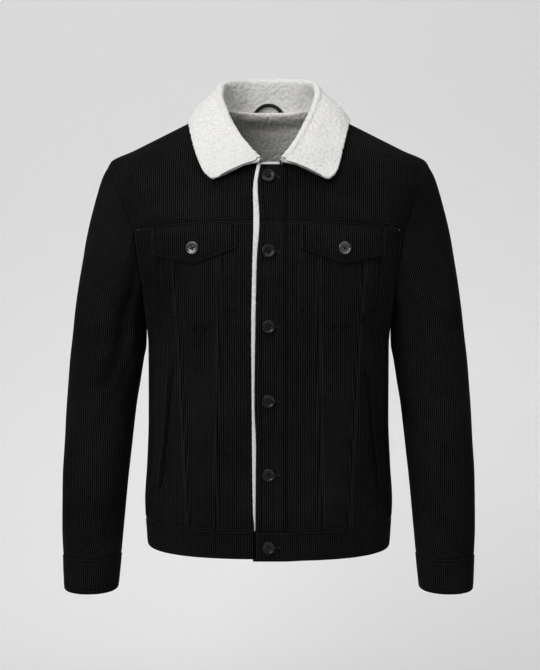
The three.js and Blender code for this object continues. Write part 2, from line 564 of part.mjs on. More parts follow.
// Sleeves: the first ring is the armhole seam itself, and it eases into plain sections below.
const sleeveInner = smoothCurve(SLEEVE, "z", "inner");
const sleeveOuter = smoothCurve(SLEEVE, "z", "outer");
const sleeveDeep = smoothCurve(SLEEVE, "z", "deep");
const sleeveAhead = smoothCurve(SLEEVE, "z", "ahead");
function sleeveSection(side, turn, z) {
  const power = 2 / SLEEVE_ROUND;
  const [c, s] = [Math.cos(turn), Math.sin(turn)];
  const [middle, half] = [(sleeveOuter(z) + sleeveInner(z)) / 2, (sleeveOuter(z) - sleeveInner(z)) / 2];
  const acrossOf = (f) => THREE.MathUtils.degToRad(f.turn) * SLEEVE_RADIUS;
  const calm = ease(clamp((z - CUFF_SEAM_Z) / CUFF_CALM, 0, 1));
  const fold = calm * foldHeight(SLEEVE_FOLDS, turn * SLEEVE_RADIUS, z, acrossOf);
  const x = middle + Math.sign(c) * (half + fold) * Math.abs(c) ** power;
  const y = -Math.sign(s) * (sleeveDeep(z) + fold) * Math.abs(s) ** power - sleeveAhead(z);
  return new THREE.Vector3(side * x, y, z);
}

// The armhole seam as a loop of places from the shoulder tip, down the front and up the back. Each has
// its turn round the sleeve and the direction away from the panel that it ends.
function armholeLoop(side) {
  const middleOf = (a, b) => ({
    outer: a.outer.clone().lerp(b.outer, 0.5),
    beside: a.beside.clone().lerp(b.beside, 0.5),
  });
  const top = edgeOf(yokes[side], -1);
  const low = edgeOf(sideFronts[side], -1).slice(0, ARMHOLE_ROWS.length);
  const behind = edgeOf(back, side > 0 ? -1 : 0).slice(0, CAP_ROWS.length + ARMHOLE_ROWS.length);
  const loop = [
    middleOf(top[0], behind[0]),
    ...top.slice(1, -1),
    middleOf(top.at(-1), low[0]),
    ...low.slice(1, -1),
    middleOf(low.at(-1), behind.at(-1)),
    ...behind.slice(1, -1).reverse(),
  ];
  const under = top.length + low.length - 2;
  const lengths = loop.map((p, i) => p.outer.distanceTo(loop[(i + 1) % loop.length].outer));
  const along = (from, to) => lengths.slice(from, to).reduce((a, b) => a + b, 0);
  return loop.map((p, i) => {
    const away = p.outer.clone().sub(p.beside).normalize();
    const down = along(0, i) / along(0, under);
    const up = along(under, i) / along(under, loop.length);
    const turn = Math.PI * (i <= under ? down : 1 + up);
    return { turn, away, outer: p.outer.clone().addScaledVector(away, 1.5 * SEAM_GAP) };
  });
}

const SLEEVE_SHARES = [0, 0.03, 0.07, ...evenly(15).map((t) => mix(0.12, 1, t))];
const CAP_EASE = 170; // the armhole's own shape has gone this far below it
const SLEEVE_CLEAR = 1.6; // between the sleeve and the body it hangs against
const FULL_CLEAR = 30; // that clearance is reached this far below the armhole

// How far out the body's side lies at a depth and height
function bodySide(y, z) {
  const deep = y < 0 ? bodyFront(z) : bodyBack(z);
  const share = Math.min(1, Math.abs(y) / deep);
  return bodyWide(z) * (1 - share ** bodyRound(z)) ** (1 / bodyRound(z));
}
function sleeve(side) {
  const loop = armholeLoop(side);
  const outer = SLEEVE_SHARES.map((v) =>
    loop.map((start) => {
      const z = mix(start.outer.z, CUFF_SEAM_Z + SEAM_GAP / 2, v);
      const offset = start.outer.clone().sub(sleeveSection(side, start.turn, start.outer.z));
      const keep = 1 - ease(clamp((start.outer.z - z) / CAP_EASE, 0, 1));
      const p = sleeveSection(side, start.turn, z).addScaledVector(offset, keep);
      const clear = mix(SEAM_GAP, SLEEVE_CLEAR, ease(clamp((start.outer.z - z) / FULL_CLEAR, 0, 1)));
      if (v > 0 && side * p.x < bodySide(p.y, z) + clear) p.x = side * (bodySide(p.y, z) + clear);
      return p;
    }),
  );
  const count = loop.length;
  const inner = outer.map((row, r) =>
    row.map((p, c) => {
      const across = row[(c + 1) % count].clone().sub(row[(c + count - 1) % count]);
      const down = outer[Math.min(r + 1, outer.length - 1)][c].clone().sub(outer[Math.max(r - 1, 0)][c]);
      const inward = across.cross(down).normalize().multiplyScalar(-side);
      if (r === 0) inward.addScaledVector(loop[c].away, Math.max(0, -inward.dot(loop[c].away))).normalize();
      return p.clone().addScaledVector(inward, CLOTH);
    }),
  );
  return { outer, inner };
}
const CUFF_ROWS = [
  { z: CUFF_SEAM_Z - SEAM_GAP / 2, swell: 0 },
  { z: CUFF_SEAM_Z - 4, swell: 0.8 },
  { z: (CUFF_SEAM_Z + CUFF_Z) / 2, swell: 0.8 },
  { z: CUFF_Z + 3, swell: 0.6 },
  { z: CUFF_Z, swell: -0.2 },
];
const CUFF_COLUMNS = 24;
function cuff(side) {
  const turns = evenly(CUFF_COLUMNS).slice(0, -1).map((t) => t * 2 * Math.PI);
  const point = (z, turn, grow) => {
    const out = new THREE.Vector3(side * Math.cos(turn), -Math.sin(turn), 0);
    return sleeveSection(side, turn, z).addScaledVector(out, grow);
  };
  const layer = (drop) => CUFF_ROWS.map(({ z, swell }) => turns.map((turn) => point(z, turn, swell - drop)));
  return { outer: layer(0), inner: layer(BAND_CLOTH) };
}
for (const [name, side] of Object.entries(SIDES)) {
  addWall("sleeve_" + name, sleeve(side), corduroy, true);
  addWall("cuff_" + name, cuff(side), corduroy, true);
}

// Collar: one fleece piece that stands round the neck, rolls over and lies on the shoulders
const COLLAR_HALF_COLUMNS = 18;
const END_SHIFT_SHARE = 0.35; // the sideways shift of the front ends dies away over this share
function collarSections() {
  const column = (name) => smoothCurve(COLLAR.map((row, i) => ({ i, v: row[name] })), "i", "v");
  const [rollX, rollY, rollZ] = ["rollX", "rollY", "rollZ"].map(column);
  const onFace = ({ back: behind }, x, z, lift) => onBody(!behind, reachOf(!behind, x, z), z, lift);
  const seatOf = (row) => onFace(row, row.seat, neckline(!row.back, row.seat), COLLAR_SEAT);
  const edgeAt = (row) => onFace(row, row.edgeX, row.edgeZ, row.off);
  const [seats, edges] = [seatOf, edgeAt].map((find) => new THREE.CatmullRomCurve3(COLLAR.map(find)));
  const half = evenly(COLLAR_HALF_COLUMNS).map((t) => {
    const at = t * (COLLAR.length - 1);
    const roll = new THREE.Vector3(rollX(at), rollY(at), rollZ(at));
    return { t, points: [roll, seats.getPoint(t), edges.getPoint(t)] };
  });
  const mirrored = (p) => new THREE.Vector3(-p.x, p.y, p.z);
  const other = half.slice(0, -1).map((h) => ({ t: h.t, points: h.points.map(mirrored) }));
  return [...half, ...other.reverse()].map(({ t, points }) => {
    const shift = COLLAR_END_SHIFT * (1 - ease(clamp(t / END_SHIFT_SHARE, 0, 1)));
    return points.map((p) => p.setX(p.x + shift));
  });
}
// The middle line of the fleece from the neckline over the roll to the free edge
const LEAF_BOW = { up: 7, out: 6 };
function collarLine([roll, seat, edge]) {
  const up = new THREE.Vector3(0, 0, 1);
  const out = edge.clone().sub(roll).setZ(0).normalize();
  const at = (o, z) => roll.clone().addScaledVector(out, o).addScaledVector(up, z);
  const [inside, outside] = [at(-COLLAR_ROLL_RADIUS, 0), at(COLLAR_ROLL_RADIUS, 0)];
  const foot = seat.clone().add(inside.clone().sub(seat).setLength(COLLAR_FOOT));
  const turn = COLLAR_ROLL_RADIUS * Math.SQRT1_2;
  const leaf = (t) => {
    const point = outside.clone().lerp(edge, t);
    const bow = t * (1 - t);
    return point.addScaledVector(up, LEAF_BOW.up * bow).addScaledVector(out, LEAF_BOW.out * bow);
  };
  const stand = [foot, foot.clone().lerp(inside, 0.5), inside];
  const overRoll = [at(-turn, turn), at(0, COLLAR_ROLL_RADIUS), at(turn, turn), outside];
  return [...stand, ...overRoll, leaf(0.25), leaf(0.5), leaf(0.75), edge];
}
function collar() {
  const middle = collarSections().map(collarLine);
  const [count, steps] = [middle.length, middle[0].length];
  const layer = (lift) =>
    middle.map((line, i) =>
      line.map((p, j) => {
        const across = middle[Math.min(i + 1, count - 1)][j].clone().sub(middle[Math.max(i - 1, 0)][j]);
        const along = line[Math.min(j + 1, steps - 1)].clone().sub(line[Math.max(j - 1, 0)]);
        return p.clone().addScaledVector(across.cross(along).normalize(), lift);
      }),
    );
  return { outer: layer(FLEECE / 2), inner: layer(-FLEECE / 2) };
}
addWall("collar", collar(), fleece);

// Lining behind the neck, and the hanging loop sewn in with it
const LINING_ROWS = 7;
const LINING_DROP = 0.6; // its top edge lies this far below the back's
const LINING_EASE = 1.1; // it hangs this far inside the back
const LINING_SHARE = 0.66; // of the shoulder's length
function neckLining() {
  const place = (u, row) => {
    const p = backPlace(u, row);
    return { ...p, z: p.z - LINING_DROP, lift: -CLOTH - LINING_EASE };
  };
  const columns = BACK_COLUMNS.filter((u) => Math.abs(u) < LINING_SHARE);
  return bodyWall(BACK_ROWS.slice(0, LINING_ROWS), columns, place, LINING);
}
addWall("lining_back_neck", neckLining(), fleece);

const LOOP = { radius: 2.2, halfWidth: 21.5, rise: 21.8, y: 68.5, foot: -9, bend: 0.0035 };
const arc = (count, point) => evenly(count).map((t) => point(Math.cos(t * Math.PI), Math.sin(t * Math.PI)));
const loopPoint = (c, s) => {
  const x = -LOOP.halfWidth * c;
  return new THREE.Vector3(x, LOOP.y - LOOP.bend * x * x, LOOP.foot + LOOP.rise * s);
};
const loopPath = new THREE.CatmullRomCurve3(arc(8, loopPoint));
const loopSection = new THREE.Shape().absarc(0, 0, LOOP.radius, 0, 2 * Math.PI);
const loopOptions = { steps: 12, extrudePath: loopPath, curveSegments: 8, bevelEnabled: false };
add("hanging_loop", new THREE.ExtrudeGeometry(loopSection, loopOptions), tape);

// Buttons: a rim round a dished middle, turned to face away from the cloth. Shares of radius and height.
const buttonProfile = [
  [0, 0],
  [0.86, 0],
  [1, 0.35],
  [0.98, 0.8],
  [0.84, 1],
  [0.68, 0.74],
  [0, 0.66],
].map(([r, h]) => new THREE.Vector2(r * BUTTON_RADIUS, h * BUTTON_THICK));
const buttonShape = new THREE.LatheGeometry(buttonProfile, 16);
function addButton(name, s, z, clothTop, material) {
  const mesh = add(name, buttonShape, material);
  mesh.position.copy(onBody(true, s, z, clothTop + BUTTON_STAND));
  mesh.quaternion.setFromUnitVectors(new THREE.Vector3(0, 1, 0), bodyNormal(true, s, z));
}
FRONT_BUTTON_HEIGHTS.forEach((z, i) => addButton("front_button_" + (i + 1), 0, z, PLACKET_LIFT, buttonFace));
for (const [name, side] of Object.entries(SIDES)) {
  const { s, z } = FLAP_BUTTON;
  addButton("flap_button_" + name, side * s, z, flapLift(s, z), flapButtonFace);
}

export default jacket;
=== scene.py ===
# %% [markdown]
# # A fleece lined corduroy jacket
# The jacket hangs filled out and empty, as on a wearer who isn't there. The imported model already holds
# every sewn piece as a solid. Here each piece gets its cloth: corduroy with real wales, topstitching, a
# fleece collar with pile, and buttons with rims and holes. Lengths in this lesson are millimetres, +Z is
# up, the front faces -Y and +X is the wearer's left. Meshes are turned into metres when they are made.

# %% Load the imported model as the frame
import math

import bpy
import numpy as np
from mathutils import Matrix, Vector
from mathutils.kdtree import KDTree


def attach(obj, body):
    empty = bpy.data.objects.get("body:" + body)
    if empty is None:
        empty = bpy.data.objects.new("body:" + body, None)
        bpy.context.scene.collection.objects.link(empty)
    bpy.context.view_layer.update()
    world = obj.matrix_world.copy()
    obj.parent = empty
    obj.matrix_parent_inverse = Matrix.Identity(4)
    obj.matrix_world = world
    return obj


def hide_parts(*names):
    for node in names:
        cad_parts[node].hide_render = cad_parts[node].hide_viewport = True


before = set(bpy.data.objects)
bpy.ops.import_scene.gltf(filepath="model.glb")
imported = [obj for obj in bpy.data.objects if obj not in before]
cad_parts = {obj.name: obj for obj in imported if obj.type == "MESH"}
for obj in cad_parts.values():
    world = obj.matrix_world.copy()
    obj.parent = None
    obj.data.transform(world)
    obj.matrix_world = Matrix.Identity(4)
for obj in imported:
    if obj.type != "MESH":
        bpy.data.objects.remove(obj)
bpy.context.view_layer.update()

MM = 0.001
print("frame nodes:", len(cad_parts))

# %% [markdown]
# ## Sizes
# These are the sizes that the solids were made from, so every cloth surface lies where its solid does. A
# garment is drafted from such numbers too: heights of the seams, widths across the shoulders, the hem and
# the cuffs.

# %% Driving sizes
SEAM_GAP = 0.3
CLOTH = 2.5
BAND_CLOTH = 3.0
FLEECE = 5.0
LINING = 3.5
OVERLAP_LIFT = 0.6
PLACKET_LIFT = OVERLAP_LIFT + CLOTH

SHOULDER_TIP_Z = -77.0
NECK_HALF_WIDTH, NECK_DROP, BACK_NECK_DROP = 75.0, 80.0, 5.0
YOKE_ARMHOLE_Z, ARMHOLE_TURN_Z, UNDERARM_Z = -177.0, -240.0, -300.0
HEM_SEAM_Z, HEM_Z = -598.0, -641.0
CUFF_SEAM_Z, CUFF_Z = -650.0, -702.0

LEFT_FRONT_EDGE, RIGHT_FRONT_EDGE = 19.0, -18.0
PLACKET_SEAM, PLACKET_TOP_Z = 24.5, -84.8
FRONT_BUTTON_HEIGHTS = (-102, -205, -309, -413, -517, -620)
SIDES = {"left": 1, "right": -1}


# %% Tables of sections and seams
def table(columns, rows):
    """Rows of numbers as named columns."""
    return {name: np.array(values, float) for name, values in zip(columns.split(), zip(*rows))}


BODY = table("z wide front back round", [
    (0, 75, 30, 73, 2.2),
    (-20, 116, 44, 86, 2.2),
    (-40, 156, 62, 95, 2.2),
    (-60, 196, 76, 102, 2.2),
    (-77, 231, 85, 107, 2.2),
    (-90, 236, 92, 110, 2.2),
    (-107, 238.5, 99, 114, 2.25),
    (-144, 227, 111, 120, 2.3),
    (-177, 215, 119, 123, 2.35),
    (-226, 201, 126, 123, 2.4),
    (-260, 190.5, 129, 121, 2.45),
    (-300, 182, 130, 118, 2.5),
    (-345, 177, 130, 114, 2.5),
    (-450, 177, 129, 107, 2.5),
    (-520, 180, 129, 107, 2.5),
    (-575, 183.5, 130, 110, 2.5),
    (-598, 182.5, 129, 109, 2.5),
    (-641, 180, 127, 107, 2.5),
])
SLEEVE = table("z inner outer deep ahead", [
    (-77, 150, 231, 52, 0),
    (-99, 152, 243.5, 58, 0),
    (-126, 155, 252.3, 63, 0),
    (-185, 162, 267, 71, 0),
    (-220, 166, 273, 74, 0),
    (-256, 173, 279, 75, 0),
    (-300, 182.6, 285, 74, 0),
    (-327, 181.6, 288, 72, 1),
    (-347, 182.2, 290.5, 71, 2),
    (-365, 185.5, 292.5, 70, 4),
    (-398, 190.5, 295.3, 67, 6),
    (-433, 196, 298, 65, 9),
    (-487, 202, 301, 60, 13),
    (-540, 208, 304, 56, 18),
    (-611, 214.5, 304.5, 51, 25),
    (-650, 218, 303, 47, 29),
    (-702, 223, 301, 44, 34),
])
SLEEVE_ROUND = 2.1
SLEEVE_RADIUS = 62.0
FRONT_ARMHOLE = table("z x", [(-77, 231), (-107, 219.7), (-144, 205), (-177, 193)])
BACK_ARMHOLE = table("z x", [(-77, 231), (-107, 217), (-144, 205), (-177, 198)])
PLACKET_EDGE = table("z s", [
    (-87, -11.5), (-110, -15.2), (-165, -12.5), (-215, -16), (-330, -18.5), (-415, -19.5),
    (-480, -17.5), (-598, -18.5),
])

# %% [markdown]
# ## Folds
# Worn cloth falls into soft troughs and ridges. Each one is a long bump with a middle, a half length, a
# half width, a lean and a height. The first rows of each table are the large folds, which the solids have
# too. The later rows are finer creases, placed where the sleeve bends, where the arm hangs against
# the body and where the cloth blouses over the hem band. No two are alike.

# %% Fold tables
BODY_FOLDS = {
    "front": table("s z long wide lean high", [
        (-200, -420, 120, 16, 0.1, 2.6), (196, -400, 110, 15, -0.12, 2.8), (178, -520, 50, 12, -0.5, 2),
        (-182, -530, 46, 12, 0.55, 2.2), (-45, -560, 55, 14, 0.35, -2), (150, -130, 60, 16, 0.9, -2),
        (-34, -576, 26, 6, 0.3, 1.1), (-62, -572, 22, 6, 0.15, 0.9), (-98, -582, 16, 7, -0.2, 0.9),
        (-140, -580, 18, 8, 0.3, 1.1), (-172, -584, 14, 7, -0.1, 0.9), (52, -582, 17, 7, -0.25, 1),
        (84, -578, 20, 8, 0.2, 0.8), (128, -583, 15, 7, -0.3, 1.1), (160, -580, 16, 6, 0.1, 0.9),
        (30, -215, 70, 5, 0.03, 1), (33, -440, 80, 5, -0.02, 0.8), (-178, -250, 34, 9, -0.75, -1.6),
        (-192, -282, 28, 9, -0.6, 1.3), (182, -246, 36, 9, 0.75, -1.5), (190, -286, 26, 9, 0.6, 1.4),
        (-120, -140, 50, 13, -0.8, -1.2), (-60, -300, 60, 12, 0.1, 0.8),
    ]),
    "back": table("s z long wide lean high", [
        (-120, -430, 130, 22, 0.15, 3), (105, -450, 120, 20, -0.18, 3), (10, -500, 110, 26, 0.05, -2.5),
        (-170, -220, 70, 16, 0.4, -2.5), (172, -225, 70, 16, -0.4, -2.5), (-60, -578, 20, 8, 0.2, 1),
        (-20, -583, 15, 7, -0.15, 0.9), (34, -580, 18, 8, 0.1, 1.1), (82, -582, 16, 7, -0.25, 0.9),
        (140, -579, 19, 8, 0.2, 1), (-128, -581, 17, 7, -0.1, 1.1), (-40, -180, 90, 20, 0.12, -1.2),
        (56, -260, 80, 18, -0.1, 1.2),
    ]),
}
FOLD_FADE = 25.0
SLEEVE_FOLDS = table("turn z long wide lean high", [
    (118, -300, 120, 15, 0.1, -6), (92, -330, 100, 14, 0.08, 3.5), (105, -455, 60, 13, 0.55, -3.5),
    (150, -430, 50, 14, -0.6, -3), (60, -520, 60, 14, 0.35, -2.5), (130, -590, 40, 12, 0.7, -2.5),
    (250, -310, 100, 15, -0.12, -5), (275, -470, 60, 14, 0.5, -3.5), (300, -560, 60, 14, -0.4, -2.5),
    (230, -610, 40, 12, 0.6, -2.5),
])
CUFF_CALM = 30.0
EXTRA_SLEEVE_FOLDS = {
    "left": table("turn z long wide lean high", [
        (84, -404, 46, 8, 0.75, -2.2), (100, -386, 40, 9, 0.85, 2), (120, -470, 34, 8, -0.7, -1.8),
        (74, -560, 44, 9, 0.3, -1.2), (96, -618, 24, 8, 0.5, 1.3), (52, -626, 20, 7, -0.3, 1.2),
        (30, -300, 90, 12, 0.1, 1.2), (252, -420, 40, 9, -0.7, -2), (290, -500, 36, 9, 0.6, 1.8),
        (262, -620, 22, 8, -0.4, 1.3),
    ]),
    "right": table("turn z long wide lean high", [
        (98, -398, 60, 8, 0.7, -3), (84, -372, 52, 9, 0.6, 2.2), (116, -440, 44, 8, 0.6, 2),
        (130, -380, 40, 8, 0.3, -2.2), (66, -480, 50, 10, 0.35, -1.3), (88, -560, 44, 9, -0.4, 1.2),
        (110, -616, 24, 8, 0.5, 1.4), (40, -622, 20, 7, -0.35, 1.2), (24, -270, 90, 12, 0.1, 1.2),
        (246, -400, 44, 9, 0.7, -2.2), (284, -520, 36, 9, -0.6, 1.6), (258, -616, 22, 8, 0.4, 1.3),
    ]),
}


# %% [markdown]
# ## Smooth curves
# Between the rows of a table every size follows a smooth curve that doesn't overshoot: the slope at a row
# is the harmonic mean of the slopes beside it, and zero at a high or low point.

# %% Curve helpers
def smooth_curve(at, values):
    """A function that passes smoothly through the values."""
    order = np.argsort(at)
    xs, ys = np.array(at, float)[order], np.array(values, float)[order]
    steps = np.diff(ys) / np.diff(xs)
    before, after = steps[:-1], steps[1:]
    total = np.where(before + after == 0, 1, before + after)
    middle = np.where(before * after <= 0, 0, 2 * before * after / total)
    slopes = np.concatenate([steps[:1], middle, steps[-1:]])

    def curve(x):
        x = np.clip(x, xs[0], xs[-1])
        i = np.clip(np.searchsorted(xs, x, side="right") - 1, 0, len(xs) - 2)
        span = xs[i + 1] - xs[i]
        t = (x - xs[i]) / span
        start = (1 + 2 * t) * (1 - t) ** 2 * ys[i] + t * (1 - t) ** 2 * span * slopes[i]
        end = t * t * (3 - 2 * t) * ys[i + 1] + t * t * (t - 1) * span * slopes[i + 1]
        return start + end

    return curve


def mix(a, b, t):
    return a + (b - a) * t


def ease(t):
    t = np.clip(t, 0, 1)
    return t * t * (3 - 2 * t)


def unit(vectors):
    """Vectors at length one."""
    length = np.linalg.norm(vectors, axis=-1, keepdims=True)
    return vectors / np.where(length < 1e-9, 1, length)


def lengths_along(line):
    """How far along a line each of its points lies."""
    return np.concatenate([[0], np.cumsum(np.linalg.norm(np.diff(line, axis=0), axis=1))])


def along_line(at, places, line):
    """Points between those of a line, by the places that the line's own points have."""
    return np.stack([np.interp(at, places, line[:, k]) for k in range(3)], axis=-1)


def fold_height(folds, across, z, across_of):
    """The sum of all folds at a place."""
    total = np.zeros(np.broadcast(across, z).shape)
    columns = [folds[k] for k in ("z", "long", "wide", "lean", "high")]
    for middle, fold_z, long, wide, lean, high in zip(across_of, *columns):
        dx, dz = across - middle, z - fold_z
        along, aside = dz + lean * dx, dx - lean * dz
        total = total + high * np.exp(-((along / long) ** 2) - (aside / wide) ** 2)
    return total


body_wide, body_front, body_back, body_round = (
    smooth_curve(BODY["z"], BODY[k]) for k in ("wide", "front", "back", "round")
)
placket_edge = smooth_curve(PLACKET_EDGE["z"], PLACKET_EDGE["s"])
print("chest half width", float(body_wide(-260)))


# %% [markdown]
# ## The body's surface
# A place on the body is given by its face, the length s round from the middle of that face, and its height
# z. So a line of constant s runs straight down the cloth, as its grain does, and a wale can follow it.
# Every section is a rounded box shape, a superellipse, measured once a millimetre and laid out evenly along
# its own length.

# %% Body surface
HEIGHTS = np.arange(HEM_Z - 6, 1.0)
SHARES = np.linspace(0, 1, 241)


def sections(depth):
    """Half sections for all heights, as x and y at even shares of their length."""
    corner = np.linspace(0, math.pi / 2, 361)
    power = 2 / body_round(HEIGHTS)[:, None]
    x = body_wide(HEIGHTS)[:, None] * np.sin(corner) ** power
    y = depth(HEIGHTS)[:, None] * np.abs(np.cos(corner)) ** power
    steps = np.hypot(np.diff(x, axis=1), np.diff(y, axis=1))
    s = np.concatenate([np.zeros((len(x), 1)), np.cumsum(steps, axis=1)], axis=1)

    def evenly(values):
        return np.stack([np.interp(SHARES * line[-1], line, row) for line, row in zip(s, values)])

    return {"x": evenly(x), "y": evenly(y), "girth": s[:, -1]}


FACES = {"front": sections(lambda z: -body_front(z)), "back": sections(body_back)}


def girth(face, z):
    """Length from the middle of a face to the side, at a height."""
    return np.interp(z, HEIGHTS, FACES[face]["girth"])


def look_up(grid, z, share):
    """A value between the entries of a section table."""
    row = np.clip(z - HEIGHTS[0], 0, len(HEIGHTS) - 1.001)
    column = np.clip(share, 0, 1) * (len(SHARES) - 1.001)
    r, c = row.astype(int), column.astype(int)
    fr, fc = row - r, column - c
    upper = mix(grid[r, c], grid[r, c + 1], fc)
    return mix(upper, mix(grid[r + 1, c], grid[r + 1, c + 1], fc), fr)


def body_shell(face, s, z):
    """Points on the body's outer face, folds included."""
    s, z = np.broadcast_arrays(np.asarray(s, float), np.asarray(z, float))
    reach, whole = np.abs(s), girth(face, z)
    share = np.clip(reach / whole, 0, 1)
    side = np.where(s < 0, -1.0, 1.0)
    x, y = (look_up(FACES[face][k], z, share) for k in "xy")
    near, far = np.clip(share - 0.004, 0, 1), np.clip(share + 0.004, 0, 1)
    dx, dy = (look_up(FACES[face][k], z, far) - look_up(FACES[face][k], z, near) for k in "xy")
    turn = 1 if face == "front" else -1
    folds = BODY_FOLDS[face]
    fold = ease((whole - reach) / FOLD_FADE) * fold_height(folds, s, z, folds["s"])
    step = np.hypot(dx, dy)
    return np.stack([side * (x + turn * dy * fold / step), y - turn * dx * fold / step, z], axis=-1)


NORMAL_STEP = 1.5


def body_normal(face, s, z):
    """Directions straight out of the body's face."""
    along = body_shell(face, s + NORMAL_STEP, z) - body_shell(face, s - NORMAL_STEP, z)
    down = body_shell(face, s, np.minimum(z + NORMAL_STEP, 0)) - body_shell(face, s, z - NORMAL_STEP)
    normal = unit(np.cross(along, down))
    return normal if face == "front" else -normal


def on_body(face, s, z, lift=0.0):
    """Points moved out from the body's face."""
    s, z = np.broadcast_arrays(np.asarray(s, float), np.asarray(z, float))
    return body_shell(face, s, z) + body_normal(face, s, z) * np.asarray(lift, float)[..., None]


print("girth at the chest", round(float(2 * girth("front", -260) + 2 * girth("back", -260))), "mm")


# %% [markdown]
# ## Seam lines
# A panel ends where its seams run. Each seam is a function: a height for a seam that goes across, a length
# s for one that goes down. The armhole and the shoulder are the only curved ones.

# %% Seam lines
def yoke_seam(s):
    return -164.5 - 12.5 * (s / 211) ** 2


def inner_seam(z):
    return mix(70, 79, (z + 165) / (HEM_SEAM_Z + 165))


def outer_seam(z):
    return mix(144, 118, (z + 165) / (HEM_SEAM_Z + 165))


def seam_height(seam, s):
    """The height at which a leaning seam passes a length s."""
    at = np.linspace(-120, HEM_SEAM_Z, 400)
    order = np.argsort(seam(at))
    return np.interp(s, seam(at)[order], at[order])


def reach_of(face, x, z):
    """The length s at which the body's face reaches x, at one height."""
    row = [look_up(FACES[face]["x"], np.full(SHARES.shape, float(z)), SHARES)]
    return float(np.interp(x, row[0], SHARES) * girth(face, z))


def armhole_line(face, armhole):
    """Heights and lengths along the straight upper part of an armhole."""
    x_at = smooth_curve(armhole["z"], armhole["x"])
    z = np.linspace(SHOULDER_TIP_Z, YOKE_ARMHOLE_Z, 60)
    return {"z": z, "s": np.array([reach_of(face, x_at(h), h) for h in z])}


ARMHOLE = {"front": armhole_line("front", FRONT_ARMHOLE), "back": armhole_line("back", BACK_ARMHOLE)}
ARMHOLE_S = {face: float(line["s"][-1]) for face, line in ARMHOLE.items()}
UNDERARM_S = {face: float(girth(face, UNDERARM_Z)) for face in ARMHOLE}


def panel_limit(face, z):
    """A panel's outer end at a height: the armhole, and below it the side seam."""
    z = np.asarray(z, float)
    upper = np.interp(-z, -ARMHOLE[face]["z"], ARMHOLE[face]["s"])
    turn = np.clip((ARMHOLE_TURN_Z - z) / (ARMHOLE_TURN_Z - UNDERARM_Z), 0, 1)
    under = mix(ARMHOLE_S[face], UNDERARM_S[face], 1 - np.sqrt(1 - turn * turn))
    return np.where(z >= YOKE_ARMHOLE_Z, upper, np.where(z <= UNDERARM_Z, girth(face, z), under))


def armhole_height(face, s, upper):
    """The height at which the armhole passes a length s, on its upper or its under part."""
    if upper:
        line = ARMHOLE[face]
        order = np.argsort(line["s"])
        return np.interp(s, line["s"][order], line["z"][order])
    z = np.linspace(ARMHOLE_TURN_Z, UNDERARM_Z, 200)
    return np.interp(s, panel_limit(face, z), z)


def top_line(face):
    """The neckline and the shoulder seam of a face, as s and z."""
    x = NECK_HALF_WIDTH * np.sin(np.linspace(0, math.pi / 2, 40))
    share = np.minimum(1, (x / NECK_HALF_WIDTH) ** 2)
    neck_z = -NECK_DROP * np.sqrt(1 - share) if face == "front" else -BACK_NECK_DROP * (1 - share)
    neck_s = [reach_of(face, a, b) for a, b in zip(x, neck_z)]
    shoulder_z = np.linspace(0, SHOULDER_TIP_Z, 60)[1:]
    s = np.concatenate([neck_s, girth(face, shoulder_z) - SEAM_GAP / 2])
    return {"s": s, "z": np.concatenate([neck_z, shoulder_z])}


TOP = {face: top_line(face) for face in FACES}


def top_height(face, s):
    return np.interp(np.abs(s), TOP[face]["s"], TOP[face]["z"]) - SEAM_GAP / 2


print("armhole at the yoke seam, length from the middle", {f: round(v, 1) for f, v in ARMHOLE_S.items()})


# %% [markdown]
# ## From grids of points to closed cloth
# Every piece starts as a grid: columns side by side and rows from top to bottom. Grids that share an edge
# are welded into one skin. Cloth has two faces, so a plainer skin lies behind the detailed one, and a
# narrow rim is sewn round the two. The rim walks along both edges at once and always takes the shorter
# step.

# %% Skins and rims
def grid_faces(rows, columns, ring=False):
    index = np.arange(rows * columns).reshape(rows, columns)
    if ring:
        index = np.concatenate([index, index[:, :1]], axis=1)
    corners = [index[:-1, :-1], index[1:, :-1], index[1:, 1:], index[:-1, 1:]]
    return np.stack(corners, axis=-1).reshape(-1, 4)


def with_crest(points, crest=0.0):
    """Points with how light their pile or wale is as a fourth value."""
    return np.concatenate([points, np.broadcast_to(crest, points.shape[:-1])[..., None]], axis=-1)


def tube_faces(rings, sides, count):
    """Faces of many closed tubes, each of a few rings of points."""
    caps = np.array([(0, k, k + 1, min(k + 2, sides - 1)) for k in range(1, sides - 1, 2)])
    one = np.concatenate([grid_faces(rings, sides, ring=True), caps, rings * sides - 1 - caps])
    return (one[None] + rings * sides * np.arange(count)[:, None, None]).reshape(-1, 4)


def ring_round(centre, aside, up, radius, sides):
    """A ring of points round a centre, or one ring round each of many."""
    turns = np.arange(sides) / sides * 2 * math.pi
    return np.stack([centre + radius * (aside * math.cos(t) + up * math.sin(t)) for t in turns], axis=-2)


def skin(*grids, ring=False):
    """Grids welded into one skin: its points, and its faces with repeated corners where one has closed up."""
    points, faces, count = [], [], 0
    for grid in grids:
        rows, columns, values = grid.shape
        points.append(grid.reshape(-1, values))
        faces.append(grid_faces(rows, columns, ring) + count)
        count += rows * columns
    points, faces = np.concatenate(points), np.concatenate(faces)
    rounded = np.round(points[:, :3], 3)
    _, first, where = np.unique(rounded, axis=0, return_index=True, return_inverse=True)
    faces = where.ravel()[faces]
    different = np.array([len(set(face)) for face in faces.tolist()])
    return points[first], faces[different > 2]


def rim_loops(faces):
    """The corners round each open edge of a skin, in order."""
    edges = np.concatenate([faces[:, [i, (i + 1) % 4]] for i in range(4)])
    edges = edges[edges[:, 0] != edges[:, 1]]
    size = edges.max() + 1
    lone = ~np.isin(edges[:, 0] * size + edges[:, 1], edges[:, 1] * size + edges[:, 0])
    after = dict(edges[lone].tolist())
    loops = []
    while after:
        start, here = after.popitem()
        loop = [start]
        while here != start:
            loop.append(here)
            here = after.pop(here)
        loops.append(loop)
    return loops


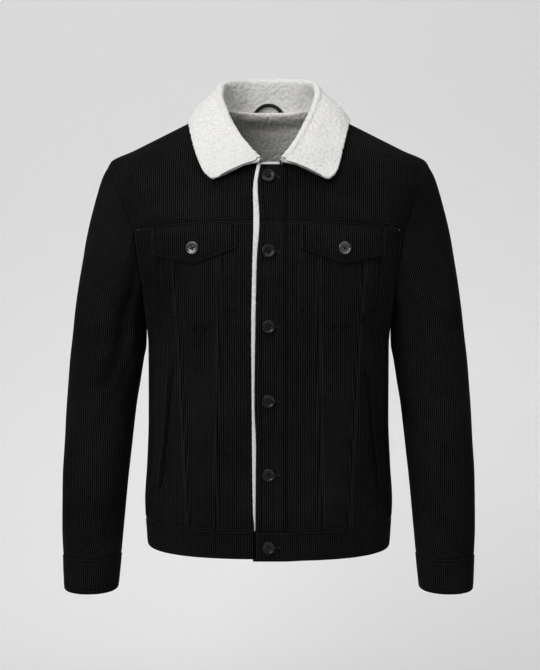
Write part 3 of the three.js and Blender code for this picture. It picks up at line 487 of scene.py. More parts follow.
def sew_rims(points, outer, inner):
    """Triangles between two loops that run side by side."""
    nearest = np.argmin(np.linalg.norm(points[inner, :3] - points[outer[0], :3], axis=1))
    inner = inner[nearest:] + inner[:nearest]
    outer, inner = outer + outer[:1], inner + inner[:1]
    a, b = points[outer, :3].tolist(), points[inner, :3].tolist()
    faces, i, j = [], 0, 0
    while i < len(outer) - 1 or j < len(inner) - 1:
        step_outer = math.dist(a[i + 1], b[j]) if i < len(outer) - 1 else math.inf
        step_inner = math.dist(a[i], b[j + 1]) if j < len(inner) - 1 else math.inf
        if step_outer <= step_inner:
            faces.append((outer[i + 1], outer[i], inner[j], inner[j]))
            i += 1
        else:
            faces.append((inner[j], inner[j + 1], outer[i], outer[i]))
            j += 1
    return np.array(faces)


def close_wall(outer, inner):
    """A closed wall from a detailed outer skin and a plain inner skin."""
    points = np.concatenate([outer[0], inner[0]])
    behind = inner[1] + len(outer[0])
    outer_loops, inner_loops = rim_loops(outer[1]), rim_loops(behind)
    faces = [outer[1], behind[:, ::-1]]
    for loop in outer_loops:
        middle = points[loop, :3].mean(axis=0)
        partner = min(inner_loops, key=lambda other: np.linalg.norm(points[other, :3].mean(axis=0) - middle))
        faces.append(sew_rims(points, loop, partner))
    return points, np.concatenate(faces)


def volume_of(points, faces):
    p = points[:, :3]
    first = np.einsum("ij,ij->i", p[faces[:, 0]], np.cross(p[faces[:, 1]], p[faces[:, 2]]))
    second = np.einsum("ij,ij->i", p[faces[:, 0]], np.cross(p[faces[:, 2]], p[faces[:, 3]]))
    return (first.sum() + second.sum()) / 6


def link(name, data):
    """A new object with this data, in the scene."""
    made = bpy.data.objects.new(name, data)
    bpy.context.scene.collection.objects.link(made)
    return made


def make_mesh(name, points, faces, material):
    """A mesh object from points in millimetres and faces of four corners, some of them repeated."""
    if volume_of(points, faces) < 0:
        faces = faces[:, ::-1]
    corners = []
    for face in faces.tolist():
        corners.append([c for i, c in enumerate(face) if c != face[i - 1]])
    mesh = bpy.data.meshes.new(name)
    mesh.from_pydata((points[:, :3] * MM).tolist(), [], corners)
    mesh.shade_smooth()
    if points.shape[1] > 3:
        values = mesh.attributes.new("crest", "FLOAT", "POINT")
        values.data.foreach_set("value", points[:, 3].astype(np.float32))
    mesh.materials.append(material)
    return link(name, mesh)


TRIANGLES = {}


def dress(piece, node):
    """The piece moves with the one body and stands for its solid, and its triangles are counted."""
    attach(piece, "root")
    if node:
        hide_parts(node)
    TRIANGLES[piece.name] = sum(len(p.vertices) - 2 for p in piece.data.polygons)
    return piece


def cut_size(grid):
    """How wide, long and large a grid of cloth is when it is laid flat, in metres and square metres."""
    p = grid[..., :3] * MM
    across = np.linalg.norm(np.diff(p[..., :2], axis=1), axis=-1).sum(axis=1).max()
    down = np.linalg.norm(np.diff(p, axis=0), axis=-1).sum(axis=0).max()
    sides = np.cross(p[1:, 1:] - p[:-1, :-1], p[:-1, 1:] - p[1:, :-1])
    return float(across), float(down), float(np.linalg.norm(sides, axis=-1).sum() / 2)


LEAST_WIDE, LEAST_SHARE = 0.0101, 0.31  # the least width, and the least share of its rectangle, that a cut is taken to have


def state_cut(piece, *grids):
    """Works out how large the piece of cloth was cut, from its plain inner grids; the sizes are not kept, and
    the piece is given back as it is.
    """
    widths, lengths, areas = zip(*(cut_size(grid) for grid in grids))
    length = max(lengths)
    width = max(*widths, sum(areas) / length * 1.001, LEAST_WIDE)
    max(sum(areas), LEAST_SHARE * width * length)
    return piece


# %% [markdown]
# ## Shader groups that several finishes share
# Cloth is never one flat colour: dye takes unevenly, pile lies one way here and another there, and lint and
# wear show in patches. One group makes soft blotches of two sizes. Another makes fine fibre, as a height
# for a Bump node and a mask. Each finish below places them with its own values.

# %% Blotches and fibre as node groups
def socket(group, name, kind, way, value=None):
    made = group.interface.new_socket(name=name, in_out=way, socket_type=kind)
    if value is not None:
        made.default_value = value
    return made


def add_node(tree, kind, **settings):
    """A node with its settings, and its unlinked inputs given by name or number in an 'inputs' dictionary."""
    inputs = settings.pop("inputs", {})
    made = tree.nodes.new(kind)
    for key, value in settings.items():
        setattr(made, key, value)
    for key, value in inputs.items():
        made.inputs[key].default_value = value
    return made


def noise(tree, place, scale, detail, roughness=0.5):
    made = add_node(tree, "ShaderNodeTexNoise", inputs={"Detail": detail, "Roughness": roughness})
    tree.links.new(place, made.inputs["Vector"])
    if isinstance(scale, (int, float)):
        made.inputs["Scale"].default_value = scale
    else:
        tree.links.new(scale, made.inputs["Scale"])
    return made.outputs["Fac"]


def maths(tree, operation, a, b=None, c=None, clamp=False):
    made = add_node(tree, "ShaderNodeMath", operation=operation, use_clamp=clamp)
    for place, value in enumerate((a, b, c)):
        if value is None:
            continue
        if isinstance(value, (int, float)):
            made.inputs[place].default_value = value
        else:
            tree.links.new(value, made.inputs[place])
    return made.outputs[0]


def blotch_group():
    """Large and small soft patches, from 0 to 1 round a half."""
    group = bpy.data.node_groups.new("soft_blotches", "ShaderNodeTree")
    socket(group, "Large", "NodeSocketFloat", "INPUT", 9.0)
    socket(group, "Small", "NodeSocketFloat", "INPUT", 60.0)
    socket(group, "Mask", "NodeSocketFloat", "OUTPUT")
    entry, leave = add_node(group, "NodeGroupInput"), add_node(group, "NodeGroupOutput")
    place = add_node(group, "ShaderNodeTexCoord").outputs["Object"]
    large = noise(group, place, entry.outputs["Large"], 2.0)
    small = noise(group, place, entry.outputs["Small"], 3.0)
    both = maths(group, "MULTIPLY_ADD", small, 0.4, maths(group, "MULTIPLY", large, 0.6))
    spread = maths(group, "MULTIPLY_ADD", both, 2.2, -0.6, clamp=True)
    group.links.new(spread, leave.inputs["Mask"])
    return group


def fibre_group():
    """Fine fibre: a height, and a mask that is light on the tips."""
    group = bpy.data.node_groups.new("fine_fibre", "ShaderNodeTree")
    socket(group, "Scale", "NodeSocketFloat", "INPUT", 1400.0)
    socket(group, "Length", "NodeSocketVector", "INPUT", (1.0, 1.0, 0.35))
    socket(group, "Height", "NodeSocketFloat", "OUTPUT")
    socket(group, "Tips", "NodeSocketFloat", "OUTPUT")
    entry, leave = add_node(group, "NodeGroupInput"), add_node(group, "NodeGroupOutput")
    place = add_node(group, "ShaderNodeTexCoord").outputs["Object"]
    along = add_node(group, "ShaderNodeVectorMath", operation="MULTIPLY")
    group.links.new(place, along.inputs[0])
    group.links.new(entry.outputs["Length"], along.inputs[1])
    fine = noise(group, along.outputs[0], entry.outputs["Scale"], 2.0, 0.65)
    coarse = noise(group, along.outputs[0], maths(group, "MULTIPLY", entry.outputs["Scale"], 0.3), 2.0)
    height = maths(group, "MULTIPLY_ADD", fine, 0.6, maths(group, "MULTIPLY", coarse, 0.4))
    group.links.new(height, leave.inputs["Height"])
    group.links.new(maths(group, "MULTIPLY_ADD", height, 3.0, -1.0, clamp=True), leave.inputs["Tips"])
    return group


BLOTCHES, FIBRE = blotch_group(), fibre_group()


def new_finish(name, roughness, specular, sheen=0.0, sheen_roughness=0.5, sheen_tint=(1, 1, 1)):
    """A material, its node tree and its shader. Values that are the same all over sit on the shader itself."""
    material = bpy.data.materials.new(name)
    material.use_nodes = True
    tree = material.node_tree
    shader = tree.nodes["Principled BSDF"]
    shader.inputs["Roughness"].default_value = roughness
    shader.inputs["Specular IOR Level"].default_value = specular
    shader.inputs["Sheen Weight"].default_value = sheen
    shader.inputs["Sheen Roughness"].default_value = sheen_roughness
    shader.inputs["Sheen Tint"].default_value = (*sheen_tint, 1)
    return material, tree, shader


def group_node(tree, group, **inputs):
    made = add_node(tree, "ShaderNodeGroup", node_tree=group)
    for key, value in inputs.items():
        made.inputs[key].default_value = value
    return made


def blend_colours(tree, mask, low, high):
    """A colour between two others, by a mask."""
    made = add_node(tree, "ShaderNodeMix", data_type="RGBA")
    tree.links.new(mask, made.inputs["Factor"])
    for name, colour in (("A", low), ("B", high)):
        place = next(s for s in made.inputs if s.name == name and s.type == "RGBA")
        if isinstance(colour, tuple):
            place.default_value = (*colour, 1)
        else:
            tree.links.new(colour, place)
    return next(s for s in made.outputs if s.type == "RGBA")


def bump(tree, shader, height, distance, strength=1.0):
    made = add_node(tree, "ShaderNodeBump", inputs={"Distance": distance, "Strength": strength})
    tree.links.new(height, made.inputs["Height"])
    tree.links.new(made.outputs["Normal"], shader.inputs["Normal"])
    return made


# %% [markdown]
# ## Corduroy
# Black corduroy is matt between its wales and has a faint blue-grey bloom on their crests, where the cut
# pile stands up: partly the shader's own sheen, partly painted sheen in the crest colour. The wales
# themselves are in the mesh, and the material paints light and shade on them from a value that each point
# of the mesh carries: a near-black groove colour as painted shade in the grooves, a lighter crest colour
# as painted sheen on the crests, also laid as a painted highlight on the raised edge beside a seam. Fine
# fibre breaks the crests up, as cut pile does.

# %% Corduroy finish
def corduroy_finish(name, groove, crest, sheen_and_wear):
    bloom = {"sheen": 0.03, "sheen_roughness": 0.28, "sheen_tint": (0.97, 0.97, 1)}
    material, tree, shader = new_finish(name, 0.95, 0.01, **bloom)
    height = add_node(tree, "ShaderNodeAttribute", attribute_name="crest").outputs["Fac"]
    patches = group_node(tree, BLOTCHES, Large=8.0, Small=45.0).outputs["Mask"]
    pile = group_node(tree, FIBRE, Scale=1500.0)
    # Painted light: the groove colour is painted shade in the grooves and the crest colour is painted sheen on
    # the crests; random rubbed patches take a paler crest colour, which is painted sheen too. The fourth power
    # sharpens this painted contrast.
    top = blend_colours(tree, patches, crest, sheen_and_wear)
    sharp = maths(tree, "POWER", height, 4.0)
    shade_and_sheen_mask = maths(tree, "MULTIPLY", sharp, maths(tree, "MULTIPLY_ADD", pile.outputs["Tips"], 0.5, 0.5))
    tree.links.new(blend_colours(tree, shade_and_sheen_mask, groove, top), shader.inputs["Base Color"])
    bump(tree, shader, pile.outputs["Height"], 0.0004, 0.7)
    return material


# The groove colour is painted shade, and both crest colours are painted sheen, the paler one in random rubbed
# patches.
CORDUROY = corduroy_finish(
    "black_corduroy",
    groove=(0.0003, 0.0003, 0.0003),
    crest=(0.0125, 0.0122, 0.0134),
    sheen_and_wear=(0.027, 0.0265, 0.0287),
)


# %% [markdown]
# ## Thread, fleece, tape and buttons
# Topstitching is dyed to match but is smoother than the pile, so it catches a thin light. Fleece is
# off-white and soft: its curls are in the mesh, and the deep places between them are painted a little
# darker and warmer, as painted shade. The front buttons are black polished horn-like plastic. The flap
# buttons are dark and mirror bright.

# %% Other finishes
def thread_finish(name, low, high):
    material, tree, shader = new_finish(name, 0.55, 0.2)
    pile = group_node(tree, FIBRE, Scale=2600.0, Length=(1, 1, 1))
    colour = blend_colours(tree, pile.outputs["Tips"], low, high)
    tree.links.new(colour, shader.inputs["Base Color"])
    bump(tree, shader, pile.outputs["Height"], 0.0001)
    return material


def fleece_finish(name, deep, curl, tip):
    material, tree, shader = new_finish(name, 1.0, 0.05, sheen=0.04, sheen_roughness=0.6)
    height = add_node(tree, "ShaderNodeAttribute", attribute_name="crest").outputs["Fac"]
    patches = group_node(tree, BLOTCHES, Large=14.0, Small=110.0).outputs["Mask"]
    pile = group_node(tree, FIBRE, Scale=900.0, Length=(1, 1, 1))
    top = blend_colours(tree, patches, curl, tip)
    # Painted shade: the deep colour, where the nub height is low, darkens the valleys between nubs; curls take
    # the same mix at a random tone.
    tree.links.new(blend_colours(tree, height, deep, top), shader.inputs["Base Color"])
    bump(tree, shader, pile.outputs["Height"], 0.0006, 0.8)
    return material


def tape_finish():
    material, tree, shader = new_finish("twill_tape", 0.7, 0.3)
    place = add_node(tree, "ShaderNodeTexCoord").outputs["Object"]
    fineness = {"Scale": 420.0, "Distortion": 0.5}
    twill = add_node(tree, "ShaderNodeTexWave", bands_direction="DIAGONAL", inputs=fineness)
    tree.links.new(place, twill.inputs["Vector"])
    colour = blend_colours(tree, twill.outputs["Fac"], (0.002, 0.002, 0.002), (0.008, 0.008, 0.009))
    tree.links.new(colour, shader.inputs["Base Color"])
    bump(tree, shader, twill.outputs["Fac"], 0.0003)
    return material


def button_finish(name, colour, cloud, roughness, coat=0.0, metallic=0.0, specular=0.5):
    material, tree, shader = new_finish(name, roughness, specular)
    shader.inputs["Coat Weight"].default_value = coat
    shader.inputs["Coat Roughness"].default_value = 0.06
    shader.inputs["Metallic"].default_value = metallic
    patches = group_node(tree, BLOTCHES, Large=90.0, Small=400.0).outputs["Mask"]
    tree.links.new(blend_colours(tree, patches, colour, cloud), shader.inputs["Base Color"])
    rough = maths(tree, "MULTIPLY_ADD", patches, 0.1, roughness)
    tree.links.new(rough, shader.inputs["Roughness"])
    return material


THREAD = thread_finish("thread", (0.018, 0.018, 0.02), (0.042, 0.041, 0.046))
HOLE_THREAD = thread_finish("buttonhole_thread", (0.004, 0.004, 0.005), (0.012, 0.012, 0.014))
# The first colour of each fleece is painted shade for the valleys between nubs.
COLLAR_FLEECE = fleece_finish("collar_fleece", (0.66, 0.65, 0.625), (0.76, 0.753, 0.735), (0.8, 0.795, 0.78))
LINING_FLEECE = fleece_finish("lining_fleece", (0.56, 0.545, 0.52), (0.8, 0.79, 0.77), (0.86, 0.85, 0.83))
TAPE = tape_finish()
FRONT_BUTTON = button_finish("black_horn", (0.003, 0.003, 0.0035), (0.007, 0.007, 0.008), 0.17, specular=0.3)
FLAP_BUTTON = button_finish("dark_mirror", (0.07, 0.07, 0.075), (0.13, 0.13, 0.135), 0.13, 0.1, metallic=0.85)
print("finishes:", [material.name for material in bpy.data.materials])


# %% [markdown]
# ## Wales and rows
# Corduroy's wales are about 3 mm apart. Modelled ribs catch light as the real ones do, from any side, where
# a bump map would go flat at the outline. Three columns of points make one wale: one in the groove and two
# on the crest. Columns run straight down the cloth, so a leaning seam cuts the wales off, as shears would.
# Rows lie close together beside seams and far apart elsewhere, since a wale is straight along its length.

# %% Wales and rows
WALE_PITCH = 3.0
WALE_HIGH = 0.6
FINE_STEP, COARSE_STEP = 0.9, 8.0


def wale(s):
    """How high a wale stands at a length s, from 0 in its groove to 1 on its crest."""
    return np.interp(np.round(s / WALE_PITCH, 6) % 1, [0, 1 / 3, 2 / 3, 1], [0, 1, 1, 0])


def wale_columns(start, end, *fixed, step=WALE_PITCH / 3):
    """Lengths s of columns from one side to the other, three to a wale."""
    inside = np.arange(math.ceil(start / step), math.floor(end / step) + 1) * step
    fixed = np.array([start, end, *fixed])
    far = np.abs(inside[:, None] - fixed).min(axis=1) > 0.3 * step
    return np.sort(np.concatenate([fixed, inside[far]]))


def row_shares(length, close, fixed=()):
    """Shares of a length for its rows: fine within a zone beside each place in 'close', coarse elsewhere."""
    marks = [0.0]
    while marks[-1] < length:
        beyond = min(abs(marks[-1] - place) - zone for place, zone in close.items())
        marks.append(marks[-1] + float(mix(FINE_STEP, COARSE_STEP, ease(beyond / 28))))
    marks = np.array(marks) * length / marks[-1]
    for place in fixed:
        marks[np.argmin(np.abs(marks - place))] = place
    return marks / length


# %% [markdown]
# ## Seams and topstitching
# A seam pulls cloth down along its line. Where it is felled, the allowance lies under one side and lifts
# it, and two rows of thread hold it down. Each kind of seam below says how far the cloth rolls down to it,
# how far the allowance lifts it, and where its rows of thread run. A row of thread presses a narrow groove
# across the wales.

# %% Relief beside seams
SEAM_KINDS = {
    "plain": {"roll": 0.8, "rise": 0.0, "rows": ()},
    "felled": {"roll": 0.8, "rise": 0.5, "rows": (1.7, 6.3)},
    "single": {"roll": 1.0, "rise": 0.2, "rows": (1.9,)},
    "armhole": {"roll": 1.2, "rise": 0.5, "rows": (2.6,)},
    "turned": {"roll": 1.5, "rise": 0.0, "rows": ()},
    "row": {"roll": 0.0, "rise": 0.0, "rows": (0.0,)},
}
ROLL_WIDE, ALLOWANCE = 3.0, 8.0
GROOVE_DEEP, GROOVE_WIDE, GROOVE_PRESS = 0.45, 0.8, 0.6
EDGE_HIGHLIGHT = 0.93  # the turned edge beside a seam gets a painted highlight, as pale as a crest


def thread_pull(distances):
    """How hard rows of thread pull the cloth in, from the distances to them."""
    return sum(np.exp(-((d / GROOVE_WIDE) ** 2)) for d in distances)


def pressed(crest, pull):
    """Wales that rows of thread press flat."""
    return crest * (1 - GROOVE_PRESS * np.clip(pull, 0, 1))


def edge_roll(distance, deep):
    """How far cloth rolls down to an edge or a seam."""
    return -deep * np.clip(1 - distance / ROLL_WIDE, 0, 1) ** 2


def across(line, sign, kind, start=-500, end=500):
    """A seam that goes across the body, at a height for each s. The panel lies above it for sign 1."""
    return {"way": "across", "line": line, "sign": sign, "kind": kind, "span": (start, end)}


def down(line, sign, kind, top=0, bottom=-700):
    """A seam that runs down the body, at an s for each height. The panel lies outside it for sign 1."""
    return {"way": "down", "line": line, "sign": sign, "kind": kind, "span": (bottom, top)}


def path(points, kind="row"):
    """A row of thread through places (s, z)."""
    return {"way": "path", "points": np.array(points, float), "kind": kind}


def path_distance(points, s, z):
    nearest = np.full(s.shape, 99.0)
    for (s0, z0), (s1, z1) in zip(points[:-1], points[1:]):
        ds, dz = s1 - s0, z1 - z0
        t = np.clip(((s - s0) * ds + (z - z0) * dz) / (ds * ds + dz * dz), 0, 1)
        nearest = np.minimum(nearest, np.hypot(s - s0 - t * ds, z - z0 - t * dz))
    return nearest


def seam_distance(seam, s, z):
    if seam["way"] == "path":
        return path_distance(seam["points"], s, z)
    at, value = (s, z) if seam["way"] == "across" else (z, s)
    distance = seam["sign"] * (value - seam["line"](at))
    outside = (at < seam["span"][0]) | (at > seam["span"][1])
    return np.where(outside, 99.0, distance)


def relief(seams, s, z):
    """How far the seams move the cloth, how much of its wales they leave, and how much painted highlight they
    put on the raised edge beside them.
    """
    moved, left, sheen_and_wear = np.zeros(s.shape), np.ones(s.shape), np.zeros(s.shape)
    for seam in seams:
        kind, distance = SEAM_KINDS[seam["kind"]], seam_distance(seam, s, z)
        pull = thread_pull([distance - row for row in kind["rows"]]) + np.zeros(s.shape)
        rise = kind["rise"] * ease((ALLOWANCE + 2 - distance) / 2.5)
        moved += rise + edge_roll(distance, kind["roll"]) - GROOVE_DEEP * pull
        left = pressed(left, pull)
        if kind["roll"] > 0:
            # painted highlight on the raised edge just beside the seam
            sheen_and_wear = np.maximum(sheen_and_wear, EDGE_HIGHLIGHT * np.exp(-(((distance - 1.1) / 0.9) ** 2)))
    return moved, left, sheen_and_wear


def cloth_grid(face, side, s, z, seams, lift=0.0):
    """Corduroy at a grid of places (s, z), with the height of its wales, raised to a painted highlight beside
    seams, as a fourth value.
    """
    s, z = np.broadcast_arrays(s, z)
    moved, left, sheen_and_wear = relief(seams, s, z)
    crest = wale(s) * left
    points = on_body(face, side * s, z, lift + moved + WALE_HIGH * (crest - 0.5))
    return with_crest(points, np.maximum(crest, sheen_and_wear))


def plain_grid(face, side, s, z, lift):
    """The cloth's other face, with no wales."""
    return with_crest(on_body(face, side * s, z, lift))


# %% [markdown]
# ## Topstitching
# Each stitch is a short thread that dips into the cloth at both ends. They are made together, one tube of
# four rings each, along rows that the seams give. A row is a line of places on the cloth, which also knows
# which way is out.

# %% Stitches along a row
STITCH_PITCH, STITCH_LONG, STITCH_THICK = 3.1, 2.35, 0.3
# The rings of one stitch: the share of its length, the share of its width, and the height.
STITCH_SHAPE = ((0, 0.3, -0.22), (0.25, 1, 0), (0.75, 1, 0), (1, 0.3, -0.22))
THREAD_LIFT, ROW_BREAK = 0.22, 6.0
STITCH_ROWS = {}


def add_row(region, points, normals):
    """Keeps a row of thread, as points a millimetre or so apart with the directions out of the cloth there."""
    STITCH_ROWS.setdefault(region, []).append((points, normals))


def lay_row(region, surface):
    """A row of thread in its groove, on a surface given as a function of how far it is moved out."""
    points, higher = (surface(THREAD_LIFT - GROOVE_DEEP + more) for more in (0, 1))
    add_row(region, points, higher - points)


def seam_rows(seams):
    """The places (s, z) of all rows of thread beside some seams, a millimetre apart."""
    for seam in seams:
        for row in SEAM_KINDS[seam["kind"]]["rows"]:
            if seam["way"] == "path":
                corners = seam["points"]
                length = lengths_along(corners)
                at = np.arange(0, length[-1])
                yield np.interp(at, length, corners[:, 0]), np.interp(at, length, corners[:, 1])
                continue
            at = np.arange(*seam["span"], 1.0)
            value = seam["line"](at) + seam["sign"] * row
            yield (at, value) if seam["way"] == "across" else (value, at)


def stitch_panel(region, face, side, seams, inside):
    """Rows of thread on a panel, kept where 'inside' says that a place (s, z) is on it."""
    for s, z in seam_rows(seams):
        keep = np.flatnonzero(inside(s, z))
        if len(keep) < 4:
            continue
        s, z = s[keep], z[keep]
        lift = relief(seams, s, z)[0] + THREAD_LIFT
        add_row(region, on_body(face, side * s, z, lift), body_normal(face, side * s, z))


def stitch_tubes(points, normals):
    """Rings of points for every stitch along one row."""
    length = lengths_along(points)
    breaks = np.flatnonzero(np.diff(length) > ROW_BREAK)
    if len(breaks):
        parts = (slice(0, breaks[0] + 1), slice(breaks[0] + 1, None))
        return np.concatenate([stitch_tubes(points[part], normals[part]) for part in parts])
    count = int((length[-1] - 1) / STITCH_PITCH)
    if count < 1:
        return np.zeros((0, 4, 4, 3))
    starts = (length[-1] - count * STITCH_PITCH) / 2 + np.arange(count) * STITCH_PITCH
    ahead = along_line(starts + STITCH_LONG, length, points) - along_line(starts, length, points)
    rings = []
    for share, thick, high in STITCH_SHAPE:
        at = starts + share * STITCH_LONG
        out = unit(along_line(at, length, normals))
        aside, up = unit(np.cross(out, ahead)) * thick * STITCH_THICK, out * 0.8 * thick * STITCH_THICK
        centre = along_line(at, length, points) + out * high
        rings.append(np.stack([centre + aside, centre + up, centre - aside, centre - up], axis=1))
    return np.stack(rings, axis=1)


def make_stitches(region):
    """One mesh for all stitches of a region."""
    tubes = np.concatenate([stitch_tubes(points, normals) for points, normals in STITCH_ROWS[region]])
    print("stitches on", region, len(tubes))
    piece = make_mesh("stitching_" + region, tubes.reshape(-1, 3), tube_faces(4, 4, len(tubes)), THREAD)
    return dress(piece, None)


# %% [markdown]
# ## Yokes and fronts
# Each front is four panels: the yoke over shoulder and chest, and three that hang from it between two
# leaning seams. A panel is a set of columns, each from its top seam to its bottom seam. Where a seam leans,
# some columns start or end on it part of the way down. The side panel also has a wing under the arm, whose
# rows meet those of the main part.

# %% Panels
HALF_GAP = SEAM_GAP / 2
INNER_STEP = 12.0


def side_warp(face, s, z):
    """Carries the last 20 mm of columns out to the side seam, which isn't at one length s."""
    start, end = ARMHOLE_S[face] - 20, UNDERARM_S[face]
    limit = girth(face, np.minimum(z, UNDERARM_Z))
    return np.where(s > start, start + (s - start) * (limit - start) / (end - start), s)


def panel_grids(face, columns, top, bottom, shares, turn_rows):
    """Places (s, z) of a panel, and of its wing under the arm where it has one."""
    count = len(columns) if turn_rows is None else np.count_nonzero(columns <= ARMHOLE_S[face] + 1e-6)
    z = mix(top[:count], bottom[:count], shares[:, None])
    places = [(np.broadcast_to(columns[:count], z.shape), z)]
    if turn_rows is not None:
        wing, edge = columns[count - 1:], z[turn_rows:, -1]
        wing_top = armhole_height(face, wing, upper=False)
        wing_top[0] = edge[0]
        wing_z = mix(wing_top, edge[-1], ((edge - edge[0]) / (edge[-1] - edge[0]))[:, None])
        places.append((np.broadcast_to(wing, wing_z.shape), wing_z))
    return places


def make_wall(name, outer, inner, ring=False):
    """A closed wall from lists of outer and inner grids. Those of a ring close up into a tube."""
    points, faces = close_wall(skin(*outer, ring=ring), skin(*inner, ring=ring))
    piece = dress(make_mesh(name + "_cloth", points, faces, CORDUROY), name)
    return state_cut(piece, *(np.concatenate([grid, grid[:, :1]], axis=1) if ring else grid for grid in inner))


def front_start(side):
    return LEFT_FRONT_EDGE if side > 0 else RIGHT_FRONT_EDGE


SHOULDER_S = {face: float(TOP[face]["s"][-1]) - 0.2 for face in FACES}


def armhole_or_yoke(s):
    low = armhole_height("front", s, upper=True)
    return np.where(s > ARMHOLE_S["front"], low, yoke_seam(s) + HALF_GAP)


def armhole_s(face):
    return lambda z: np.where(z > UNDERARM_Z, panel_limit(face, z), 9999.0)


YOKE_SEAMS = [
    across(yoke_seam, 1, "felled", -20, 207),
    across(lambda s: top_height("front", s), -1, "plain"),
    down(armhole_s("front"), -1, "armhole", SHOULDER_TIP_Z, YOKE_ARMHOLE_Z),
]
YOKE_SHARES = row_shares(100, {0: 3, 100: 10})


def make_yoke(name, side):
    def places(columns, shares):
        return columns, mix(top_height("front", columns), armhole_or_yoke(columns), shares[:, None])

    start, end = front_start(side), SHOULDER_S["front"]
    s, z = places(wale_columns(start, end, ARMHOLE_S["front"]), YOKE_SHARES)
    outer = cloth_grid("front", side, s, z, YOKE_SEAMS)
    s, z = places(wale_columns(start, end, ARMHOLE_S["front"], step=INNER_STEP / 2), np.linspace(0, 1, 10))
    stitch_panel("fronts", "front", side, YOKE_SEAMS,
                 lambda s, z: (s > start) & (s < panel_limit("front", z) - 1))
    return make_wall("yoke_" + name, [outer], [plain_grid("front", side, s, z, -CLOTH)])


for name, side in SIDES.items():
    make_yoke(name, side)
print("triangles", TRIANGLES)


# %% [markdown]
# ## The three panels below each yoke
# The bag of each chest pocket is stitched through all three panels in two rows, which is why its outline
# shows on the front. Both leaning seams are felled towards the side of the body, so two rows follow each of
# them as well.

# %% Fronts
BAG_OUTLINE = [
    (164, -222), (164, -253), (164, -281), (159, -296), (147, -301), (117, -309), (98, -314),
    (85, -310), (65, -299), (54, -295), (42, -291), (42, -222),
]
BAG_INNER = [
    (159, -222), (158, -281), (154, -291), (117, -303), (98, -308), (85, -304), (65, -293), (47, -287),
]
BAG_ROWS = [path(BAG_OUTLINE), path(BAG_INNER)]
SIDE_BAG_ROW = path([(142, -374), (147, -420), (152, -480), (157, -548)])
HEM_ROW = across(lambda s: HEM_SEAM_Z + 0 * s, 1, "single")
UNDER_YOKE = across(yoke_seam, -1, "plain")
FRONT_LENGTH = YOKE_ARMHOLE_Z - HEM_SEAM_Z
PANEL_TOP_Z = YOKE_ARMHOLE_Z + 12
TURN_PLACE = YOKE_ARMHOLE_Z - ARMHOLE_TURN_Z
FRONT_SHARES = row_shares(FRONT_LENGTH, {0: 3, 127: 2, FRONT_LENGTH: 5}, [TURN_PLACE])
TURN_ROW = int(np.argmin(np.abs(FRONT_SHARES * FRONT_LENGTH - TURN_PLACE)))
PLAIN_SHARES = np.array([0, 0.05, TURN_PLACE / FRONT_LENGTH, 0.24, *np.linspace(0.3, 1, 14)])


def side_edge(z):
    return np.where(z <= UNDERARM_Z, girth("front", z), 9999.0)


FRONT_PANELS = {
    "front": {
        "left": None,
        "right": inner_seam,
        "seams": [down(inner_seam, -1, "felled", -166, HEM_SEAM_Z), UNDER_YOKE, HEM_ROW, *BAG_ROWS],
    },
    "front_middle": {
        "left": inner_seam,
        "right": outer_seam,
        "seams": [down(inner_seam, 1, "plain"), down(outer_seam, -1, "felled", -171, HEM_SEAM_Z), UNDER_YOKE,
                  HEM_ROW, *BAG_ROWS],
    },
    "front_side": {
        "left": outer_seam,
        "right": None,
        "seams": [down(outer_seam, 1, "plain"), down(side_edge, -1, "plain"),
                  down(armhole_s("front"), -1, "armhole", YOKE_ARMHOLE_Z, UNDERARM_Z),
                  UNDER_YOKE, HEM_ROW, SIDE_BAG_ROW, *BAG_ROWS],
    },
}


def cut_by_seam(seam, sign, s, top, bottom):
    """Tops and bottoms of columns, where those that a leaning seam passes start or end on it."""
    upper, lower = seam(PANEL_TOP_Z), seam(HEM_SEAM_Z)
    at = seam_height(lambda z: seam(z) + sign * HALF_GAP, s)
    if (sign < 0) == (lower > upper):
        passed = s > upper if lower > upper else s < upper
        return np.where(passed, np.minimum(top, at), top), bottom
    passed = s < lower if lower > upper else s > lower
    return top, np.where(passed, np.maximum(bottom, at), bottom)


def front_places(panel, side, step, shares, turn_row):
    """Places of one front panel, at columns from its left seam to its right one."""
    left, right = FRONT_PANELS[panel]["left"], FRONT_PANELS[panel]["right"]
    start = min(left(PANEL_TOP_Z), left(HEM_SEAM_Z)) if left else front_start(side)
    end = max(right(PANEL_TOP_Z), right(HEM_SEAM_Z)) if right else UNDERARM_S["front"] - HALF_GAP
    seam_ends = [seam(z) for seam in (left, right) if seam for z in (PANEL_TOP_Z, HEM_SEAM_Z)]
    fixed = [s for s in seam_ends if start + 0.5 < s < end - 0.5]
    fixed += [] if right else [ARMHOLE_S["front"]]
    columns = wale_columns(start, end, *fixed, step=step)
    top = yoke_seam(np.minimum(columns, ARMHOLE_S["front"])) - HALF_GAP
    bottom = np.full(columns.shape, HEM_SEAM_Z + HALF_GAP)
    for seam, sign in ((left, 1), (right, -1)):
        if seam:
            top, bottom = cut_by_seam(seam, sign, columns, top, bottom)
    return panel_grids("front", columns, top, bottom, shares, None if right else turn_row)


def on_panel(panel, side):
    left = FRONT_PANELS[panel]["left"] or (lambda z: front_start(side) + 0 * z)
    right = FRONT_PANELS[panel]["right"] or (lambda z: panel_limit("front", z))

    def inside(s, z):
        return (s > left(z) + 1) & (s < right(z) - 1) & (z < yoke_seam(s) - 1) & (z > HEM_SEAM_Z + 1)

    return inside


HEM_TUCK = 2.5  # the cloth's inner side goes on below the seam, behind the hem band


